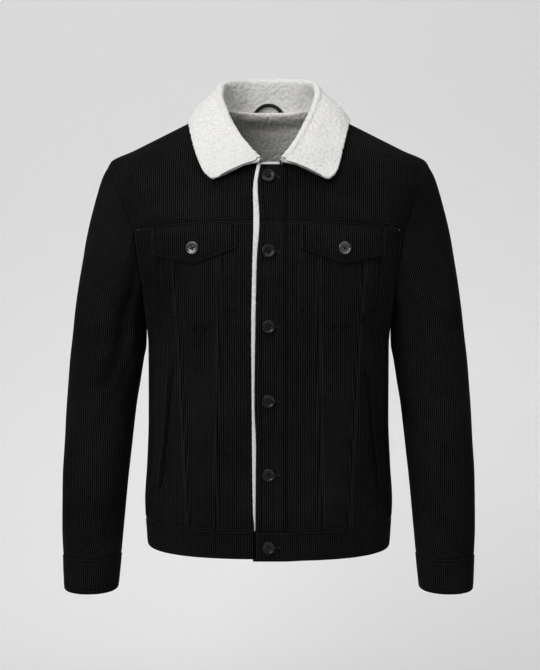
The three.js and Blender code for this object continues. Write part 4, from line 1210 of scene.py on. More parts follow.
def make_front(panel, name, side):
    seams = FRONT_PANELS[panel]["seams"]
    outer = []
    for s, z in front_places(panel, side, WALE_PITCH / 3, FRONT_SHARES, TURN_ROW):
        outer.append(cloth_grid("front", side, side_warp("front", s, z), z, seams))
    inner = []
    for s, z in front_places(panel, side, INNER_STEP, PLAIN_SHARES, 2):
        tucked = z - HEM_TUCK * (z < HEM_SEAM_Z + 1)
        inner.append(plain_grid("front", side, side_warp("front", s, z), tucked, -CLOTH))
    stitch_panel("fronts", "front", side, seams, on_panel(panel, side))
    return make_wall(panel + "_" + name, outer, inner)


for name, side in SIDES.items():
    for panel in FRONT_PANELS:
        make_front(panel, name, side)
print("triangles on the fronts", sum(TRIANGLES.values()))


# %% [markdown]
# ## Back
# The back is one piece, from the shoulder seams to the hem band. Its armholes cut in from both sides, so
# beside the main grid it has a wing above each armhole's narrowest place, up to the shoulder tip, and one
# below, under the arm.

# %% Back
BACK_LENGTH = -HEM_SEAM_Z
BACK_MARKS = [-YOKE_ARMHOLE_Z, -ARMHOLE_TURN_Z]
BACK_SHARES = row_shares(BACK_LENGTH, {0: 3, 177: 1, BACK_LENGTH: 5}, BACK_MARKS)
BACK_SEAMS = [
    across(lambda s: top_height("back", s), -1, "plain"),
    down(armhole_s("back"), -1, "armhole", SHOULDER_TIP_Z, UNDERARM_Z),
    down(lambda z: np.where(z <= UNDERARM_Z, girth("back", z), 9999.0), -1, "plain"),
    HEM_ROW,
]


def back_half(columns, shares):
    """The three grids of places on one half of the back, from its middle outwards."""
    edge_z = mix(float(top_height("back", ARMHOLE_S["back"])), HEM_SEAM_Z + HALF_GAP, shares)
    marks = [int(np.argmin(np.abs(edge_z - level))) for level in (YOKE_ARMHOLE_Z, ARMHOLE_TURN_Z)]
    inside = columns[columns <= ARMHOLE_S["back"] + 1e-6]
    z = mix(top_height("back", inside), HEM_SEAM_Z + HALF_GAP, shares[:, None])
    outside = columns[columns >= ARMHOLE_S["back"] - 1e-6]
    above, below = z[: marks[0] + 1, -1], z[marks[1]:, -1]
    low, high = armhole_height("back", outside, True), armhole_height("back", outside, False)
    low[0], high[0] = above[-1], below[0]
    over = np.minimum(top_height("back", outside), 0)
    top = mix(over, low, ((above - above[0]) / (above[-1] - above[0]))[:, None])
    under = columns[(columns >= ARMHOLE_S["back"] - 1e-6) & (columns <= UNDERARM_S["back"] - HALF_GAP + 1e-6)]
    bottom_share = ((below - below[0]) / (below[-1] - below[0]))[:, None]
    bottom = mix(high[: len(under)], below[-1], bottom_share)
    return [(inside, z), (outside, top), (under, bottom)]


def back_columns(step):
    inner = wale_columns(0, UNDERARM_S["back"] - HALF_GAP, ARMHOLE_S["back"], step=step)
    far = wale_columns(0, SHOULDER_S["back"], ARMHOLE_S["back"], UNDERARM_S["back"] - HALF_GAP, step=step)
    return inner, far


def make_back():
    outer, inner = [], []
    detailed, plain = back_columns(WALE_PITCH / 3), back_columns(INNER_STEP)
    plain_shares = np.array([0, 0.05, 0.1, 0.15, 0.2, 0.3, *np.linspace(0.4, 1, 12)])
    for level in BACK_MARKS:
        plain_shares[np.argmin(np.abs(plain_shares * BACK_LENGTH - level))] = level / BACK_LENGTH
    for side in (1, -1):
        for columns, shares, grids in ((detailed, BACK_SHARES, outer), (plain, plain_shares, inner)):
            main, top, _ = back_half(columns[1], shares)
            bottom = back_half(columns[0], shares)[2]
            for s, z in (main, top, bottom):
                warped = side_warp("back", s, z) if s is bottom[0] else s
                if grids is outer:
                    grid = cloth_grid("back", side, warped, z, BACK_SEAMS)
                else:
                    grid = plain_grid("back", side, warped, z, -CLOTH)
                grids.append(grid[:, ::-1] if side < 0 else grid)
        stitch_panel("back", "back", side, BACK_SEAMS, lambda s, z: (s > 0) & (s < panel_limit("back", z) - 1))
    return make_wall("back", outer, inner)


make_back()
print("triangles on the back", TRIANGLES["back_cloth"])


# %% [markdown]
# ## Sleeves
# A sleeve starts at the armhole, whose edge it follows all round, and eases into plain oval sections below.
# Its wales run parallel to the outer edge, as the cloth's grain does, so columns stay at one length q from
# that edge. The sleeve narrows towards the cuff, and the columns that no longer fit end on the underarm
# seam.

# %% Sleeve surface
CAP_EASE, SLEEVE_CLEAR, FULL_CLEAR = 170.0, 1.6, 30.0
sleeve_inner, sleeve_outer, sleeve_deep, sleeve_ahead = (
    smooth_curve(SLEEVE["z"], SLEEVE[k]) for k in ("inner", "outer", "deep", "ahead")
)


def sleeve_section(name, turn, z):
    """Points on a plain section: turn is the angle from the outer edge, round through the front."""
    power = 2 / SLEEVE_ROUND
    c, s = np.cos(turn), np.sin(turn)
    middle, half = (sleeve_outer(z) + sleeve_inner(z)) / 2, (sleeve_outer(z) - sleeve_inner(z)) / 2
    whole = np.mod(turn, 2 * math.pi) * SLEEVE_RADIUS
    fold = np.zeros(np.broadcast(turn, z).shape)
    for folds in (SLEEVE_FOLDS, EXTRA_SLEEVE_FOLDS[name]):
        fold = fold + fold_height(folds, whole, z, np.radians(folds["turn"]) * SLEEVE_RADIUS)
    fold = fold * ease((z - CUFF_SEAM_Z) / CUFF_CALM)
    x = middle + np.sign(c) * (half + fold) * np.abs(c) ** power
    y = -np.sign(s) * (sleeve_deep(z) + fold) * np.abs(s) ** power - sleeve_ahead(z)
    return np.stack([SIDES[name] * x, y, np.broadcast_to(z, x.shape)], axis=-1)


def armhole_loop(name):
    """The armhole's edge as points at even turns from -180 to 180 degrees, half a gap off the panels."""
    side, halves = SIDES[name], []
    z = SHOULDER_TIP_Z + (UNDERARM_Z - SHOULDER_TIP_Z) * np.sin(np.linspace(0, math.pi / 2, 160))
    for face in ("front", "back"):
        edge, beside = (on_body(face, side * (panel_limit(face, z) - inset), z) for inset in (0, 12))
        beside[-1] += (0, 0, -12)
        length = lengths_along(edge)
        halves.append((length / length[-1], edge + 1.5 * SEAM_GAP * unit(edge - beside)))
    (front_share, front), (back_share, back) = halves
    tip, under = (front[0] + back[0]) / 2, (front[-1] + back[-1]) / 2
    turn = np.concatenate([-back_share[::-1], front_share[1:]]) * math.pi
    points = np.concatenate([[under], back[-2:0:-1], [tip], front[1:-1], [under]])
    even = np.linspace(-math.pi, math.pi, 721)
    return even, along_line(even, turn, points)


ARMHOLE_LOOPS = {name: armhole_loop(name) for name in SIDES}


def body_side(y, z):
    """How far out the body's side lies at a depth and height."""
    deep = np.where(y < 0, body_front(z), body_back(z))
    share = np.minimum(1, np.abs(y) / deep)
    return body_wide(z) * (1 - share ** body_round(z)) ** (1 / body_round(z))


def sleeve_surface(name, turn, z):
    """Points on the sleeve's outer face."""
    turn, z = np.broadcast_arrays(turn, z)
    at, loop = ARMHOLE_LOOPS[name]
    start = along_line(turn, at, loop)
    below = start[..., 2] - z
    keep = 1 - ease(below / CAP_EASE)
    points = sleeve_section(name, turn, z)
    points = points + (start - sleeve_section(name, turn, start[..., 2])) * keep[..., None]
    clear = mix(SEAM_GAP, SLEEVE_CLEAR, ease(below / FULL_CLEAR))
    least = body_side(points[..., 1], z) + clear
    x = SIDES[name] * points[..., 0]
    points[..., 0] = SIDES[name] * np.where(below > 0.5, np.maximum(x, least), x)
    return points


TURNS = np.linspace(-math.pi, math.pi, 361)
SLEEVE_LEVELS = np.linspace(-60, CUFF_Z, 322)


def sleeve_lengths(name):
    """Lengths q round the sleeve from its outer edge, for all turns and levels."""
    points = sleeve_surface(name, TURNS, SLEEVE_LEVELS[:, None])
    steps = np.linalg.norm(np.diff(points, axis=1), axis=-1)
    length = np.concatenate([np.zeros((len(points), 1)), np.cumsum(steps, axis=1)], axis=1)
    return length - length[:, 180:181]


SLEEVE_LENGTHS = {name: sleeve_lengths(name) for name in SIDES}


def turn_at(name, q, z):
    """The turn at which a level of the sleeve reaches the length q."""
    spacing = SLEEVE_LEVELS[1] - SLEEVE_LEVELS[0]
    level = np.clip((z - SLEEVE_LEVELS[0]) / spacing, 0, len(SLEEVE_LEVELS) - 1.001)
    row = level.astype(int)
    found = np.zeros(q.shape)
    for k in np.unique(row):
        here = row == k
        low = np.interp(q[here], SLEEVE_LENGTHS[name][k], TURNS)
        high = np.interp(q[here], SLEEVE_LENGTHS[name][k + 1], TURNS)
        found[here] = mix(low, high, level[here] - k)
    return found


def surface_normals(grid):
    """Directions out of a grid of points, from its own slopes."""
    return unit(np.cross(np.gradient(grid, axis=0), np.gradient(grid, axis=1)))


print("half the girth of a sleeve at its cuff", round(float(SLEEVE_LENGTHS["left"][-1, -1]), 1), "mm")


# %% Sleeves and cuffs
SLEEVE_COLUMNS_END = 0.2


def sleeve_ends(name, columns):
    """Top and bottom heights of the sleeve's columns: the armhole, and the cuff or the underarm seam."""
    at, loop = ARMHOLE_LOOPS[name]
    lengths = np.array([np.interp(t, TURNS, SLEEVE_LENGTHS[name][np.argmin(np.abs(SLEEVE_LEVELS - z))])
                        for t, z in zip(at, loop[:, 2])])
    order = np.argsort(lengths)
    top = np.interp(columns, lengths[order], loop[order, 2])
    low = SLEEVE_LEVELS <= UNDERARM_Z
    levels = SLEEVE_LEVELS[low]
    bottom = np.full(columns.shape, CUFF_SEAM_Z + HALF_GAP)
    for edge in (0, -1):
        reach = np.maximum.accumulate(np.abs(SLEEVE_LENGTHS[name][low, edge])[::-1]) - SLEEVE_COLUMNS_END
        same_side = np.sign(columns) == (-1 if edge == 0 else 1)
        meets = np.interp(np.abs(columns), reach, levels[::-1])
        bottom = np.where(same_side, np.maximum(bottom, np.minimum(meets, top)), bottom)
    return top, bottom


def sleeve_places(name, step, shares):
    low = int(np.argmin(np.abs(SLEEVE_LEVELS - UNDERARM_Z)))
    ends = SLEEVE_LENGTHS[name][low, [0, -1]]
    columns = wale_columns(ends[0] + SLEEVE_COLUMNS_END, ends[1] - SLEEVE_COLUMNS_END, step=step)
    top, bottom = sleeve_ends(name, columns)
    z = mix(top, bottom, shares[:, None])
    q = np.broadcast_to(columns, z.shape)
    return q, z, turn_at(name, q, z)


def sleeve_normals(name, turn, z):
    step = 0.02
    along = sleeve_surface(name, turn + step, z) - sleeve_surface(name, turn - step, z)
    fall = sleeve_surface(name, turn, z - 1.5) - sleeve_surface(name, turn, z + 1.5)
    return unit(np.cross(along, fall)) * SIDES[name]


def nearest(points, seeds):
    """For each point, the number of the nearest seed and how far off it is."""
    tree = KDTree(len(seeds))
    for i, place in enumerate(seeds):
        tree.insert(place, i)
    tree.balance()
    which, far = np.array([tree.find(place)[1:] for place in points.reshape(-1, 3)]).T
    return which.astype(int).reshape(points.shape[:-1]), far.reshape(points.shape[:-1])


SLEEVE_SHARES = row_shares(480, {0: 4, 480: 3})


def make_sleeve(name):
    q, z, turn = sleeve_places(name, WALE_PITCH / 3, SLEEVE_SHARES)
    points, normals = sleeve_surface(name, turn, z), sleeve_normals(name, turn, z)
    crest, far = wale(q), nearest(points, ARMHOLE_LOOPS[name][1])[1]
    roll = np.clip(1 - far / 3.5, 0, 1) ** 2 + np.clip(1 - (z - CUFF_SEAM_Z) / 3, 0, 1) ** 2
    outer = with_crest(points + normals * (WALE_HIGH * (crest - 0.5) - 0.9 * roll)[..., None], crest)
    _, z, turn = sleeve_places(name, INNER_STEP, np.linspace(0, 1, 24))
    inner = with_crest(sleeve_surface(name, turn, z) - CLOTH * sleeve_normals(name, turn, z))
    return make_wall("sleeve_" + name, [outer], [inner])


def cuff_swell(z):
    """How far the cuff stands out from the sleeve's own section, down to its turned lower edge."""
    swell = (-0.6, 0.3, 0.8, 0.8, 0.7, 0.6, 0.1, -0.7)
    return np.interp(-z, (650.15, 652, 654, 676, 697, 699.5, 701.3, 702), swell)


CUFF_ROWS = (652.2, 657.6, 697.4)
CUFF_LEVELS = -np.concatenate([
    np.arange(650.15, 661, 0.9), np.arange(662, 694, 5.0), np.arange(694.5, 702, 0.9), [702],
])[:, None]
CUFF_PLAIN_LEVELS = -np.array([650.15, 665, 684, 702])[:, None]


def cuff_point(name, turn, z, grow):
    """Points of the cuff, moved out by grow, and the ways out of it."""
    out = np.stack([SIDES[name] * np.cos(turn), -np.sin(turn), 0 * turn], axis=-1)
    return sleeve_section(name, turn, z) + out * grow[..., None], out


def make_cuff(name):
    """A ring of corduroy, with two rows of thread below its seam and one above its edge."""
    turns = np.linspace(-math.pi, math.pi, 721)
    middle = np.full(turns.shape, (CUFF_SEAM_Z + CUFF_Z) / 2)
    length = lengths_along(cuff_point(name, turns, middle, 0 * turns)[0])
    count = int(round(length[-1] / WALE_PITCH)) * 3
    columns = np.arange(count)
    turn, z = np.broadcast_arrays(np.interp(columns * length[-1] / count, length, turns), CUFF_LEVELS)
    pull = thread_pull([z + row for row in CUFF_ROWS])
    crest = pressed(wale(columns * WALE_PITCH / 3), pull)
    grow = cuff_swell(z) + WALE_HIGH * (crest - 0.5) - GROOVE_DEEP * pull
    outer = with_crest(cuff_point(name, turn, z, grow)[0], crest)
    turn, z = np.broadcast_arrays(np.arange(36) / 36 * 2 * math.pi, CUFF_PLAIN_LEVELS)
    inner = with_crest(cuff_point(name, turn, z, np.interp(-z, [650, 702], [-2.2, -2.7]))[0])
    at = np.linspace(0, 2 * math.pi, 300)
    for row in CUFF_ROWS:
        level = np.full(at.shape, -row)
        add_row("cuffs", *cuff_point(name, at, level, cuff_swell(level) - GROOVE_DEEP + THREAD_LIFT))
    return make_wall("cuff_" + name, [outer], [inner], ring=True)


for name in SIDES:
    make_sleeve(name)
    make_cuff(name)
print("triangles on a sleeve and a cuff", TRIANGLES["sleeve_left_cloth"], TRIANGLES["cuff_left_cloth"])


# %% [markdown]
# ## Hem band
# One strip goes round from the left front's edge, behind, and back to the right front, where it ends under
# the lap. A place on it is the length along the strip, called way here, and the share of its height. It has
# one row of thread below its seam and one above its lower edge.

# %% Hem band
BAND_LEFT_END, BAND_UNDER_RISE, BAND_LAP_FADE = -22.0, 2.5, 25.0
FRONT_GIRTH, BACK_GIRTH = float(girth("front", HEM_Z)), float(girth("back", HEM_Z))
RIGHT_FRONT = FRONT_GIRTH + 2 * BACK_GIRTH
BAND_END = RIGHT_FRONT + FRONT_GIRTH - RIGHT_FRONT_EDGE
BAND_HIGH = HEM_SEAM_Z - HALF_GAP - HEM_Z
BAND_ROWS, BAND_END_ROW = (1.9, BAND_HIGH - 3.8), 2.2


def band_surface(way, v, grow):
    """Points of the band, from 1-D lengths and shares of its height, moved out by grow."""
    z = np.broadcast_to(mix(HEM_SEAM_Z - HALF_GAP, HEM_Z, v)[:, None], (len(v), len(way)))
    front_scale, back_scale = girth("front", z) / FRONT_GIRTH, girth("back", z) / BACK_GIRTH
    lap = PLACKET_LIFT * (1 - ease((way - PLACKET_SEAM) / BAND_LAP_FADE))
    left, behind = way <= FRONT_GIRTH, (way > FRONT_GIRTH) & (way < RIGHT_FRONT)
    right = way >= RIGHT_FRONT
    under_z = z + BAND_UNDER_RISE * ease(v)[:, None]
    left_s, back_s = way * front_scale, (FRONT_GIRTH + BACK_GIRTH - way) * back_scale
    right_s = (way - RIGHT_FRONT - FRONT_GIRTH) * front_scale
    parts = [
        on_body("front", left_s[:, left], z[:, left], (lap + grow)[:, left]),
        on_body("back", back_s[:, behind], z[:, behind], grow[:, behind]),
        on_body("front", right_s[:, right], under_z[:, right], grow[:, right]),
    ]
    return np.concatenate(parts, axis=1)


def make_band():
    way, v = wale_columns(BAND_LEFT_END, BAND_END), row_shares(BAND_HIGH, {0: 3, BAND_HIGH: 6})
    below, from_end = np.broadcast_arrays((v * BAND_HIGH)[:, None], way - BAND_LEFT_END)
    pull = thread_pull([below - row for row in BAND_ROWS] + [from_end - BAND_END_ROW])
    crest = pressed(wale(way), pull)
    edges = np.minimum.reduce([below, BAND_HIGH - below, from_end])
    grow = WALE_HIGH * (crest - 0.5) - GROOVE_DEEP * pull + edge_roll(edges, 1.0)
    outer = with_crest(band_surface(way, v, grow), crest)
    way = np.linspace(BAND_LEFT_END, BAND_END, 80)
    inner = with_crest(band_surface(way, np.linspace(0, 1, 4), np.full((4, len(way)), -CLOTH)))
    way = np.arange(BAND_LEFT_END + 1, BAND_END)
    for row in BAND_ROWS:
        v = np.array([row / BAND_HIGH])
        lay_row("band", lambda lift: band_surface(way, v, np.full((1, len(way)), lift))[0])
    return make_wall("hem_band", [outer], [inner])


make_band()
print("hem band", round(BAND_END - BAND_LEFT_END), "mm long,", TRIANGLES["hem_band_cloth"], "triangles")


# %% [markdown]
# ## Placket
# The placket is a folded strip on the left front's edge. Its edge wanders a little on the way down, and its
# wales wander with it. One row of thread runs beside each long edge, and the yoke's two rows go across it
# too.

# %% Placket
PLACKET_LONG = PLACKET_TOP_Z - HEM_SEAM_Z
PLACKET_WIDE = PLACKET_SEAM - float(placket_edge(-330))
PLACKET_ROWS, YOKE_ROWS = (7.0, PLACKET_WIDE - 1.8), SEAM_KINDS["felled"]["rows"]
YOKE_Z = float(yoke_seam(0))


def placket_surface(share, z, lift):
    return on_body("front", mix(placket_edge(z), PLACKET_SEAM, share), z, lift)


def make_placket():
    columns = wale_columns(0, PLACKET_WIDE)
    v = row_shares(PLACKET_LONG, {0: 3, PLACKET_TOP_Z - YOKE_Z - 4: 5, PLACKET_LONG: 3})
    aside, z = np.broadcast_arrays(columns, mix(PLACKET_TOP_Z, HEM_SEAM_Z + HALF_GAP, v)[:, None])
    from_yoke = z - YOKE_Z
    pull = thread_pull([aside - row for row in PLACKET_ROWS] + [from_yoke - row for row in YOKE_ROWS])
    crest = pressed(wale(columns), pull)
    edges = np.minimum.reduce([aside, PLACKET_WIDE - aside, PLACKET_TOP_Z - z, z - HEM_SEAM_Z])
    crease = -0.8 * np.clip(1 - np.abs(from_yoke) / 2, 0, 1)
    lift = PLACKET_LIFT + WALE_HIGH * (crest - 0.5) - GROOVE_DEEP * pull + edge_roll(edges, 1.2) + crease
    outer = with_crest(placket_surface(aside / PLACKET_WIDE, z, lift), crest)
    levels = mix(PLACKET_TOP_Z, HEM_SEAM_Z + HALF_GAP, np.linspace(0, 1, 26))[:, None]
    share, z = np.broadcast_arrays(np.linspace(0, 1, 5), levels)
    inner = with_crest(placket_surface(share, z, PLACKET_LIFT - CLOTH))
    z = np.arange(HEM_SEAM_Z + 2, PLACKET_TOP_Z - 4)
    rows = [(row / PLACKET_WIDE + 0 * z, z) for row in PLACKET_ROWS]
    share = np.linspace(0.04, 0.96, 42)
    rows += [(share, YOKE_Z + row + 0 * share) for row in YOKE_ROWS]
    for share, z in rows:
        lay_row("placket", lambda lift: placket_surface(share, z, PLACKET_LIFT + lift))
    return make_wall("placket_left", [outer], [inner])


make_placket()
print("placket", round(PLACKET_WIDE, 1), "mm wide,", TRIANGLES["placket_left_cloth"], "triangles")


# %% [markdown]
# ## Chest pocket flaps and side pocket welts
# A flap hangs from the yoke seam and comes to a blunt point. It is turned along three sides, so its edges
# are round, and a row of thread runs 5 mm inside them. A welt is a narrow folded lip that stands proud like
# a cord.

# %% Flaps and welts
FLAP_INNER_S, FLAP_POINT_S, FLAP_OUTER_S = 44.3, 105.5, 169.5
FLAP_BOTTOMS = (-201.0, -222.5, -210.5)
FLAP_STAND, FLAP_SEAM_LIFT, FLAP_SEAM_THICK, FLAP_SEAM_DEEP = 1.4, 1.8, 1.2, 14.0
FLAP_BUTTON_S, FLAP_BUTTON_Z = 105.5, -201.0
FLAP_ROW_INSET = 5.0
WELT_TOP_S, WELT_TOP_Z, WELT_END_S, WELT_END_Z = 148.0, -380.0, 167.0, -544.0
WELT_WIDE, WELT_LIFT, WELT_THICK = 9.0, 2.8, 2.0


def flap_bottom(s):
    return np.interp(s, (FLAP_INNER_S, FLAP_POINT_S, FLAP_OUTER_S), FLAP_BOTTOMS)


def flap_fullness(s, z):
    return ease((yoke_seam(s) - z) / FLAP_SEAM_DEEP)


def flap_lift(s, z):
    return mix(FLAP_SEAM_LIFT, FLAP_STAND + BAND_CLOTH, flap_fullness(s, z))


FLAP_OUTLINE = [(FLAP_INNER_S, -150), (FLAP_INNER_S, FLAP_BOTTOMS[0]), (FLAP_POINT_S, FLAP_BOTTOMS[1]),
                (FLAP_OUTER_S, FLAP_BOTTOMS[2]), (FLAP_OUTER_S, -150)]
FLAP_THREAD = [(FLAP_INNER_S + FLAP_ROW_INSET, -171), (FLAP_INNER_S + FLAP_ROW_INSET, FLAP_BOTTOMS[0] + 3.4),
               (FLAP_POINT_S, FLAP_BOTTOMS[1] + 5.2), (FLAP_OUTER_S - FLAP_ROW_INSET, FLAP_BOTTOMS[2] + 4.2),
               (FLAP_OUTER_S - FLAP_ROW_INSET, -175)]
FLAP_SEAMS = [path(FLAP_OUTLINE, "turned"), path(FLAP_THREAD)]


def flap_places(step, shares):
    s = wale_columns(FLAP_INNER_S, FLAP_OUTER_S, FLAP_POINT_S, step=step)
    z = mix(yoke_seam(s) - SEAM_GAP, flap_bottom(s), shares[:, None])
    return np.broadcast_to(s, z.shape), z


def make_flap(name, side):
    s, z = flap_places(WALE_PITCH / 3, row_shares(48, {0: 0, 48: 7}))
    outer = cloth_grid("front", side, s, z, FLAP_SEAMS, lift=flap_lift(s, z))
    s, z = flap_places(INNER_STEP, np.array([0, 0.15, 0.3, 0.65, 1]))
    thick = mix(FLAP_SEAM_THICK, BAND_CLOTH, flap_fullness(s, z))
    inner = plain_grid("front", side, s, z, flap_lift(s, z) - thick)
    s, z = next(seam_rows([path(FLAP_THREAD)]))
    lift = flap_lift(s, z) - GROOVE_DEEP + THREAD_LIFT
    add_row("flaps", on_body("front", side * s, z, lift), body_normal("front", side * s, z))
    return make_wall("pocket_flap_" + name, [outer], [inner])


def welt_places(u, v):
    rounding = np.minimum(1, np.minimum(v, 1 - v) * 8 + 0.5)
    s = mix(WELT_TOP_S, WELT_END_S, v ** 1.3) + (u - 0.5) * WELT_WIDE * rounding
    return s, mix(WELT_TOP_Z, WELT_END_Z, v) + 0 * u


def make_welt(name, side):
    u, v = np.linspace(0, 1, 13), row_shares(164, {0: 4, 164: 4})[:, None]
    s, z = welt_places(u, v)
    crest = np.broadcast_to(wale(u * 12 + 1.5), s.shape)
    ends = np.clip(np.minimum(v, 1 - v) * 40, 0, 1)
    crown = 0.9 + (WELT_LIFT - 0.9) * np.sqrt(np.clip(1 - (2 * u - 1) ** 2, 0, 1)) * np.sqrt(ends)
    outer = with_crest(on_body("front", side * s, z, crown + WALE_HIGH * 0.6 * (crest - 0.5)), crest)
    s, z = welt_places(np.linspace(0, 1, 3), np.linspace(0, 1, 12)[:, None])
    inner = plain_grid("front", side, s, z, WELT_LIFT - WELT_THICK)
    s, z = welt_places(np.full(160, 1.0), np.linspace(0.01, 0.99, 160))
    s = side * (s + 2.2)
    add_row("fronts", on_body("front", s, z, 0.3), body_normal("front", s, z))
    return make_wall("side_pocket_welt_" + name, [outer], [inner])


for name, side in SIDES.items():
    make_flap(name, side)
    make_welt(name, side)
print("triangles on a flap", TRIANGLES["pocket_flap_left_cloth"])


# %% [markdown]
# ## Fleece
# Sherpa fleece is a knit whose pile has curled up into small soft nubs, about 4 mm across. Nubs are rounded
# bumps round scattered seeds, so neighbours meet in little valleys. On top lie fine curls, as bent threads,
# which break the surface up and blur the outline. They stay short, since this pile is dense and low.

# %% Nubs and curls
NUB_HIGH, NUB_WIDE = 1.1, 2.2


def seed_places(rows, columns, rng, ring_rows=False):
    """Row and column numbers of seeds: a brick pattern two steps apart, each shifted at random."""
    r, c = np.meshgrid(np.arange(0, rows, 2), np.arange(0, columns, 2), indexing="ij")
    c = c + (r // 2) % 2 + rng.integers(-1, 2, c.shape)
    r = r + rng.integers(-1, 2, r.shape)
    r = r % rows if ring_rows else np.clip(r, 0, rows - 1)
    return r.ravel(), np.clip(c, 0, columns - 1).ravel()


def nub_heights(points, rng, ring_rows=False):
    """Height of the nubs, 0 to 1, at each point of a grid."""
    r, c = seed_places(*points.shape[:2], rng, ring_rows)
    seeds = points[r, c] + rng.normal(0, 0.25, (len(r), 3))
    grown = rng.uniform(0.55, 1.0, len(r))
    which, far = nearest(points, seeds)
    return grown[which] * np.sqrt(np.maximum(0.0, 1 - (far / NUB_WIDE) ** 2))


CURL_SIDES, CURL_RINGS, CURL_THICK, CURL_RISE = 3, 5, 0.2, 0.5


def make_curls(name, points, normals, count, rng, long=(1.3, 2.4)):
    """Fine curled threads that lie on a surface: each is a bent tube, made with all the others at once."""
    rows, columns, _ = points.shape
    r, c = rng.integers(0, rows, count), rng.integers(0, columns, count)
    place, out = points[r, c], normals[r, c]
    way = rng.normal(0, 1, (count, 3))
    way = unit(way - out * (way * out).sum(axis=1, keepdims=True))
    aside = np.cross(out, way)
    length, bend = rng.uniform(*long, count)[:, None], rng.uniform(-1.3, 1.3, count)[:, None]
    rings = []
    for share in np.linspace(-0.5, 0.5, CURL_RINGS):
        arch = CURL_RISE * (1 - (2 * share) ** 2) - 0.15
        centre = place + way * length * share + aside * bend * (0.5 - 2 * share ** 2) + out * arch
        rings.append(ring_round(centre, aside, out, CURL_THICK * (1 - 0.75 * (2 * share) ** 4), CURL_SIDES))
    tubes = np.stack(rings, axis=1).reshape(-1, 3)
    tone = np.repeat(rng.uniform(0.55, 1, count), CURL_RINGS * CURL_SIDES)
    faces = tube_faces(CURL_RINGS, CURL_SIDES, count)
    return dress(make_mesh(name, with_crest(tubes, tone), faces, COLLAR_FLEECE), None)


# %% [markdown]
# ## Collar
# The collar is a band that stands round the neck, rolls over and lies down on the shoulders. It is
# described by sections: each starts at its seat on the neckline, climbs to the roll, turns over it and runs
# down the leaf to its free edge. The fleece is laid round both sides of that middle line as one closed soft
# form.

# %% Collar
COLLAR = table("behind seat rollX rollY rollZ edgeX edgeZ off", [
    (0, 15, 17.5, -99, -78, 78, -108, 8),
    (0, 27, 31, -94, -63, 90.5, -96.5, 7),
    (0, 40, 44, -80, -45, 98.5, -77.5, 6),
    (0, 54, 56.5, -60, -22, 105, -57, 5.5),
    (0, 66, 66, -35, 1, 110.5, -36, 5),
    (0, 75, 72, -6, 22, 114, -19.3, 5),
    (1, 67, 69, 24, 36, 102, -17, 6),
    (1, 50, 54, 52, 43, 82, -14, 8),
    (1, 27, 29, 70, 46, 46, -11, 9),
    (1, 0, 0, 76, 46.5, 0, -9, 9),
])
COLLAR_ROLL_RADIUS, COLLAR_FOOT, COLLAR_SEAT = 3.5, 2.4, -0.8
COLLAR_END_SHIFT, END_SHIFT_SHARE = 3.0, 0.35
LEAF_UP, LEAF_OUT = 7.0, 6.0
TIP_ROUND, EDGE_HALF = 10.0, 330.0
UP = np.array([0.0, 0.0, 1.0])


def through(points, t):
    """A point on a smooth curve through some points. Its speed depends on how far apart they are."""
    points = np.asarray(points, float)
    place = min(t * (len(points) - 1), len(points) - 1 - 1e-9)
    i, w = int(place), place - int(place)
    before = points[i - 1] if i else 2 * points[0] - points[1]
    after = points[i + 2] if i + 2 < len(points) else 2 * points[-1] - points[-2]
    a, b = points[i], points[i + 1]
    d0, d1, d2 = (max(np.linalg.norm(q - p), 1e-6) ** 0.5 for p, q in ((before, a), (a, b), (b, after)))
    m1 = ((a - before) / d0 - (b - before) / (d0 + d1) + (b - a) / d1) * d1
    m2 = ((b - a) / d1 - (after - a) / (d1 + d2) + (after - b) / d2) * d1
    return a + m1 * w + (3 * (b - a) - 2 * m1 - m2) * w ** 2 + (2 * (a - b) + m1 + m2) * w ** 3


def neckline(face, x):
    share = min(1.0, (x / NECK_HALF_WIDTH) ** 2)
    return -NECK_DROP * math.sqrt(1 - share) if face == "front" else -BACK_NECK_DROP * (1 - share)


def collar_lines(half_count, steps):
    """Middle lines of the fleece for all sections, from the wearer's left front end to the right one."""
    numbers = np.arange(len(COLLAR["seat"]))
    roll_curves = [smooth_curve(numbers, COLLAR[k]) for k in ("rollX", "rollY", "rollZ")]
    seats, edges = [], []
    for i in numbers:
        face = "back" if COLLAR["behind"][i] else "front"
        seat_x, edge_x, edge_z = COLLAR["seat"][i], COLLAR["edgeX"][i], COLLAR["edgeZ"][i]
        seat_z = neckline(face, seat_x)
        seats.append(on_body(face, reach_of(face, seat_x, seat_z), seat_z, COLLAR_SEAT))
        edges.append(on_body(face, reach_of(face, edge_x, edge_z), edge_z, COLLAR["off"][i]))
    shares = np.linspace(0, 1, half_count)
    lines = []
    for t in shares:
        roll = np.array([float(curve(t * numbers[-1])) for curve in roll_curves])
        lines.append(collar_line(roll, through(seats, t), through(edges, t), steps, tip_cut(t)))
    lines += [line * (-1, 1, 1) for line in lines[-2::-1]]
    shift = COLLAR_END_SHIFT * (1 - ease(np.concatenate([shares, shares[-2::-1]]) / END_SHIFT_SHARE))
    return np.array(lines) + shift[:, None, None] * (1, 0, 0)


def tip_cut(t):
    """How much shorter a section is near the front end, which rounds the tip of the leaf."""
    inside = max(TIP_ROUND - t * EDGE_HALF, 0.0)
    return TIP_ROUND - math.sqrt(TIP_ROUND ** 2 - inside ** 2)


